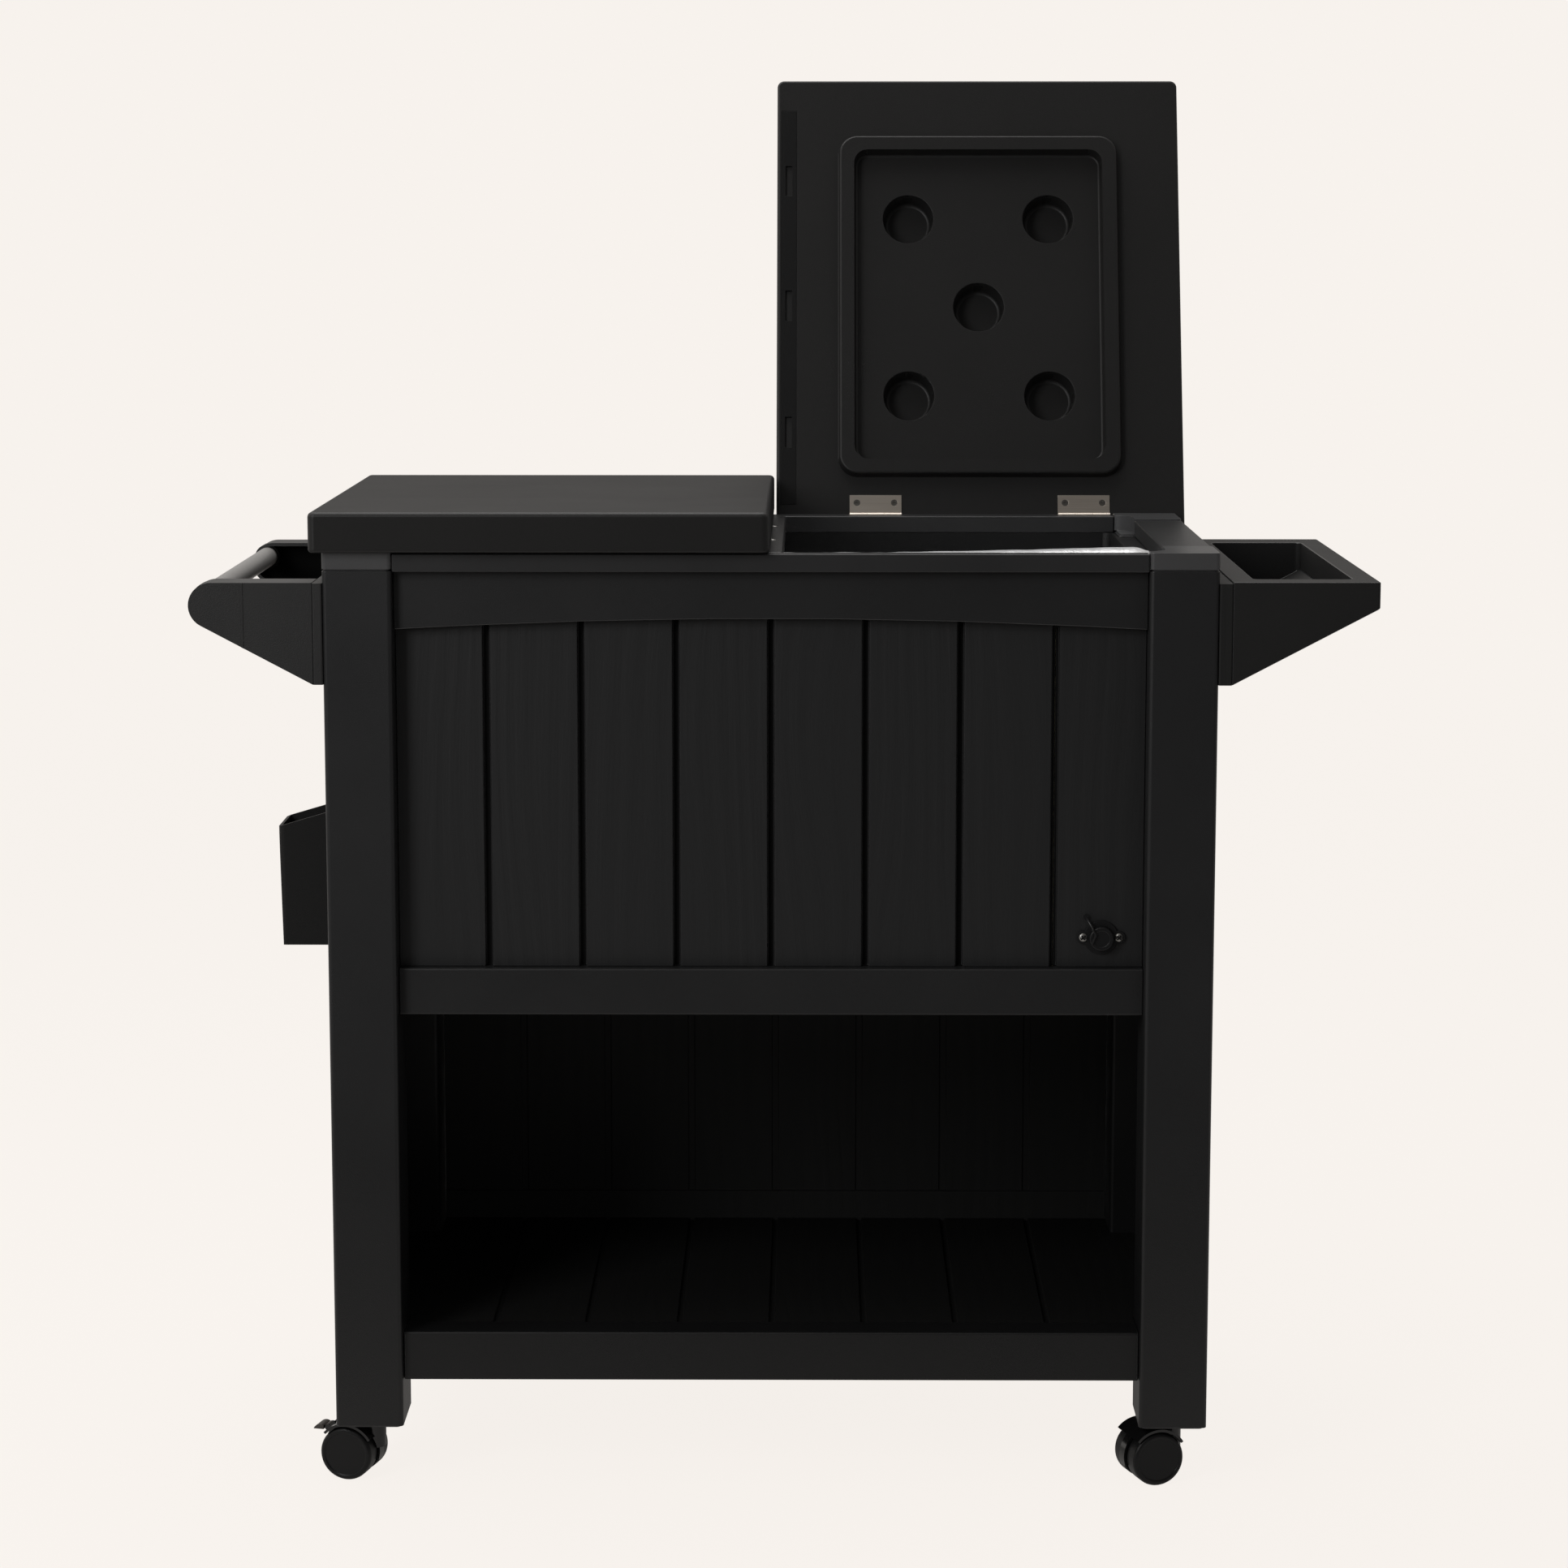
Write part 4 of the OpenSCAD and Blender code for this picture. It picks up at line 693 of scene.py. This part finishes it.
# A head and a shank of unit size, which each seat turns and scales
dome = screw_tree.node("GeometryNodeMeshUVSphere", {}, {
    "Segments": 32, "Rings": 16, "Radius": 0.5})
dome = screw_tree.painted(screw_tree.moved(dome, {"Scale": (1, 1, 2)}), "Material")
recess_bars = []
for quarter_turn in (0, math.pi / 2):
    size = screw_tree.node("ShaderNodeCombineXYZ", {}, {
        0: screw_tree.given("Recess Reach"), 1: screw_tree.given("Recess Width"), 2: 1.3})
    recess_bar = screw_tree.moved(screw_tree.node("GeometryNodeMeshCube", {}, {"Size": size}), {
        "Translation": (0, 0, 1.05), "Rotation": (0, 0, quarter_turn)})
    recess_bars.append(screw_tree.painted(recess_bar, "Recess Material"))
head = screw_tree.node("GeometryNodeMeshBoolean", {
    "operation": "DIFFERENCE", "solver": "EXACT"}, {0: dome, 1: recess_bars})
shank = screw_tree.node("GeometryNodeMeshCylinder", {}, {
    "Vertices": 16, "Radius": 0.5, "Depth": 1.0})
shank = screw_tree.painted(
    screw_tree.moved(shank, {"Translation": (0, 0, -0.5)}), "Material")
placed = [screw_tree.node("GeometryNodeInstanceOnPoints", {}, {
    "Points": screw_tree.given("Geometry"), "Instance": part,
    "Rotation": screw_tree.carried("turn"), "Scale": screw_tree.carried(sized)})
    for part, sized in ((head, "head"), (shank, "shank"))]
screw_tree.finish(screw_tree.node("GeometryNodeJoinGeometry", {}, {0: placed}))

# Where the screws sit, in millimetres
drain_screws = [(299.7 + x, -201.5, 511.8) for x in (-16.25, 16.25)]
opener_screws = [(-390.5, 0, 682 + z) for z in (-22, 22)]
divider_screws = [(0, y, 862.3) for y in (-76.5, 76.5)]
leaf_screws = [(x + along, 226.4, 852.5) for x in (-309.75, -100.75, 100.75, 309.75)
               for along in (-18.7, 18.7)]
tray_board_screws = [(409, y, z) for y in (-188, 188) for z in (765, 816)]
handle_board_screws = [(-409, y, z) for y in (-161, 161) for z in (765, 816)]
# Each group's way out, its heads' width and height, and its shanks' thickness and depth
screw_groups = [
    (drain_screws, (0, -1, 0), (8.3, 2.2), (3.6, 10)),
    (opener_screws, (-1, 0, 0), (8, 2.0), (3.8, 8)),
    (divider_screws, (0, 0, 1), (8, 1.2), (3.6, 12)),
    (leaf_screws, (0, 1, 0), (6.5, 0.9), (3, 12)),
    (tray_board_screws, (1, 0, 0), (9, 2.4), (4.5, 10)),
    (handle_board_screws, (-1, 0, 0), (9, 2.4), (4.5, 9))]
seats = [(place, *rest) for places, *rest in screw_groups for place in places]

chance = random.Random(11)
carrier = bpy.data.meshes.new("screw_seats")
carrier.from_pydata([Vector(seat[0]) * MM for seat in seats], [], [])
for label in ("turn", "head", "shank"):
    carrier.attributes.new(label, "FLOAT_VECTOR", "POINT")
for number, (_, out, (wide, high), (thick, deep)) in enumerate(seats):
    driven = Euler((0, 0, chance.uniform(0, 1.5))).to_quaternion()
    facing = Vector(out).to_track_quat("Z", "Y") @ driven
    carrier.attributes["turn"].data[number].vector = facing.to_euler()
    carrier.attributes["head"].data[number].vector = (wide * MM, wide * MM, high * MM)
    carrier.attributes["shank"].data[number].vector = (thick * MM, thick * MM, deep * MM)
screws = grown("pan_head_screws", screw_tree, carrier, {
    "Material": bright_steel, "Recess Material": recess_steel})
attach(screws, "cabinet")
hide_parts("cabinet_screws")

# Lids
# Both lids are the same moulding, a foam-filled slab with a raised plug, a recess and five
# cup wells underneath. A slotted strip is let into a channel beside its left edge.
strip_easing = 0.3 * MM
lid_resin = resin("lid_resin", (0.0145, 0.0141, 0.0137), 0.56, specular=0.18, mottle=0.08)
strip_resin = resin("strip_resin", (0.0046, 0.0046, 0.0046), 0.45, specular=0.22)
lid_edge_resin = resin("lid_edge", (0.0148, 0.0145, 0.0142), 0.45, specular=0.34)
# The left lid is closed, and the right one lies back past upright
for side, lid_tilt in (("left", 0), ("right", -110)):
    eased("lid_" + side, 0, lid_resin, body="lid_" + side,
          edge=lid_edge_resin, tilt=lid_tilt)
    eased("lid_strip_" + side, strip_easing, strip_resin, body="lid_" + side)

# Hinges
# Each lid turns on two pressed butt hinges: one leaf under the lid, one on the back of the
# rim, and a pin through their knuckles. Duller screws hold the leaves under the lid.
leaf_easing = 0.35 * MM
leaf_screw_easing = 0.08 * MM
pin_easing = 0.3 * MM
dull_steel = plated("dull_steel", (0.20, 0.19, 0.175), 0.36)
for side in ["left", "right"]:
    eased("hinge_leaves_" + side, leaf_easing, steel, body="lid_" + side)
    eased("hinge_screws_" + side, leaf_screw_easing, dull_steel, body="lid_" + side)
eased("hinge_leaves_cabinet", leaf_easing, steel)
eased("hinge_pins", pin_easing, steel)

# Drain
# A plate with a spout is screwed to the right-hand plank. A rubber plug closes it and hangs
# on a strap that is moulded with it.
spout_easing = 0.6 * MM
plug_easing = 0.5 * MM
rubber = resin("drain_rubber", (0.0095, 0.0095, 0.0100), 0.36, specular=0.42, stipple=0.00005)
plate_resin = resin("drain_plate", (0.0105, 0.0105, 0.0108), 0.60, specular=0.16)
eased("drain_spout", spout_easing, plate_resin)
eased("drain_plug", plug_easing, rubber, body="drain_plug")
eased("drain_tether", 0, rubber, body="drain_plug")

# Casters
# Twin-wheel swivel casters push into sockets in the legs: glossy nylon hoods over two hard
# wheels on one axle. The two on the left have a brake lever at the back of the hood.
caster_easing = 0.6 * MM
hood_nylon = Finish("caster_nylon", (0.0045, 0.0045, 0.0047), 0.16, specular=0.50).material
wheel_nylon = Finish("wheel_nylon", (0.0068, 0.0068, 0.0070), 0.38, specular=0.24).material
lever_resin = resin("lever_resin", (0.060, 0.052, 0.046), 0.40, specular=0.35)
eased("caster_sockets", caster_easing, hood_nylon)
for corner in corners:
    eased("caster_hood_" + corner, caster_easing, hood_nylon,
          body="caster_" + corner)
    eased("caster_wheels_" + corner, caster_easing, wheel_nylon,
          body="wheels_" + corner)
for corner in ["front_left", "rear_left"]:
    eased("brake_lever_" + corner, caster_easing, lever_resin,
          body="brake_" + corner)

# Studio
# A pale warm floor runs out of sight behind the bar, under one large soft light overhead and
# a smaller one from the front left.
backdrop = (0.931, 0.888, 0.847)
room_colour = (0.985, 0.985, 1.0)
room_light = 0.30
mirrored_dimmest = 0.27
mirrored_behind = 0.12

world = bpy.data.worlds.new("studio")
bpy.context.scene.world = world
world.use_nodes = True
sky = Nodes(world.node_tree)
sky.tree.nodes.clear()


def rays(nodes, *kinds):
    """1 for rays of any of the given kinds, 0 for the others."""
    found, *others = [nodes.node("ShaderNodeLightPath", output=kind) for kind in kinds]
    for other in others:
        found = found.combined("MAXIMUM", other)
    return found


# Mirrored rays meet the same backdrop, bright above and at the left and dim behind the camera
across, away, up = sky.split(sky.node("ShaderNodeTexCoord", output="Generated"))
from_above = sky.ramp(up, 0.0, 1.0, 0.0, 0.50)
from_left = sky.ramp(across, 0.1, -0.9, 0.0, 0.50)
ahead = sky.ramp(away, -0.85, 0.2, mirrored_behind, 1.0)
room = (mirrored_dimmest + from_above + from_left) * ahead
dimmed = 1 - (1 - room) * rays(sky, "Is Glossy Ray")
shown = sky.node("ShaderNodeBackground", {}, {"Color": (*backdrop, 1), "Strength": dimmed})
lit = sky.node("ShaderNodeBackground", {}, {"Color": (*room_colour, 1), "Strength": room_light})
either = sky.node("ShaderNodeMixShader", {}, {
    0: rays(sky, "Is Camera Ray", "Is Glossy Ray", "Is Transmission Ray"), 1: lit, 2: shown})
sky.node("ShaderNodeOutputWorld", {}, {0: either})

floor_reach = 30.0
paper_colour = (0.80, 0.765, 0.73)
glow_colour = (0.978, 0.933, 0.890)
floor_mesh = bpy.data.meshes.new("floor")
floor_mesh.from_pydata([(x * floor_reach, y * floor_reach, 0) for x, y in (
    (-1, -1), (1, -1), (1, 1), (-1, 1))], [], [(0, 1, 2, 3)])
floor = stand("floor", floor_mesh)
paper_material = bpy.data.materials.new("floor_paper")
paper_material.use_nodes = True
paper = Nodes(paper_material.node_tree)
paper.tree.nodes.clear()
# The lit paper reaches a little way towards the camera; beyond that mirrored rays find it dim
towards = paper.split(paper.node("ShaderNodeNewGeometry", output="Position"))[1]
near = paper.ramp(towards, -1.2, -0.4)
far = paper.ramp(towards, 1.0, 7.0)
mirrored = 0.25 * near * rays(paper, "Is Glossy Ray", "Is Transmission Ray")
glow_share = (0.92 + 0.08 * far) * rays(paper, "Is Camera Ray").combined("MAXIMUM", mirrored)
dull = 1 - 0.9 * (1 - near) * rays(paper, "Is Glossy Ray")
matt = paper.node("ShaderNodeBsdfDiffuse", {}, {"Color": paper.toned(paper_colour, dull)})
glow = paper.node("ShaderNodeEmission", {}, {"Color": paper.node("ShaderNodeMix", {
    "data_type": "RGBA"}, {0: far, 6: (*glow_colour, 1), 7: (*backdrop, 1)}, output=2)})
blended = paper.node("ShaderNodeMixShader", {}, {0: glow_share, 1: matt, 2: glow})
paper.node("ShaderNodeOutputMaterial", {}, {0: blended})
floor_mesh.materials.append(paper_material)
floor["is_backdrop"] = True


def softbox(name, place, aim, width, height, watts):
    """A flat soft lamp that faces a point on the bar."""
    lamp = stand(name, bpy.data.lights.new(name, "AREA"))
    lamp.data.shape = "RECTANGLE"
    lamp.data.size = width
    lamp.data.size_y = height
    lamp.data.energy = watts
    lamp.location = place
    lamp.rotation_euler = (Vector(aim) - Vector(place)).to_track_quat("-Z", "Y").to_euler()


softbox("overhead", (-0.4, 0.6, 3.2), (0, 0, 0.6), 2.4, 2.0, 35)
softbox("front_left", (-1.7, -2.4, 1.9), (-0.1, 0, 0.6), 0.9, 1.5, 30)

bpy.context.scene.view_settings.view_transform = "Standard"

low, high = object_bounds()
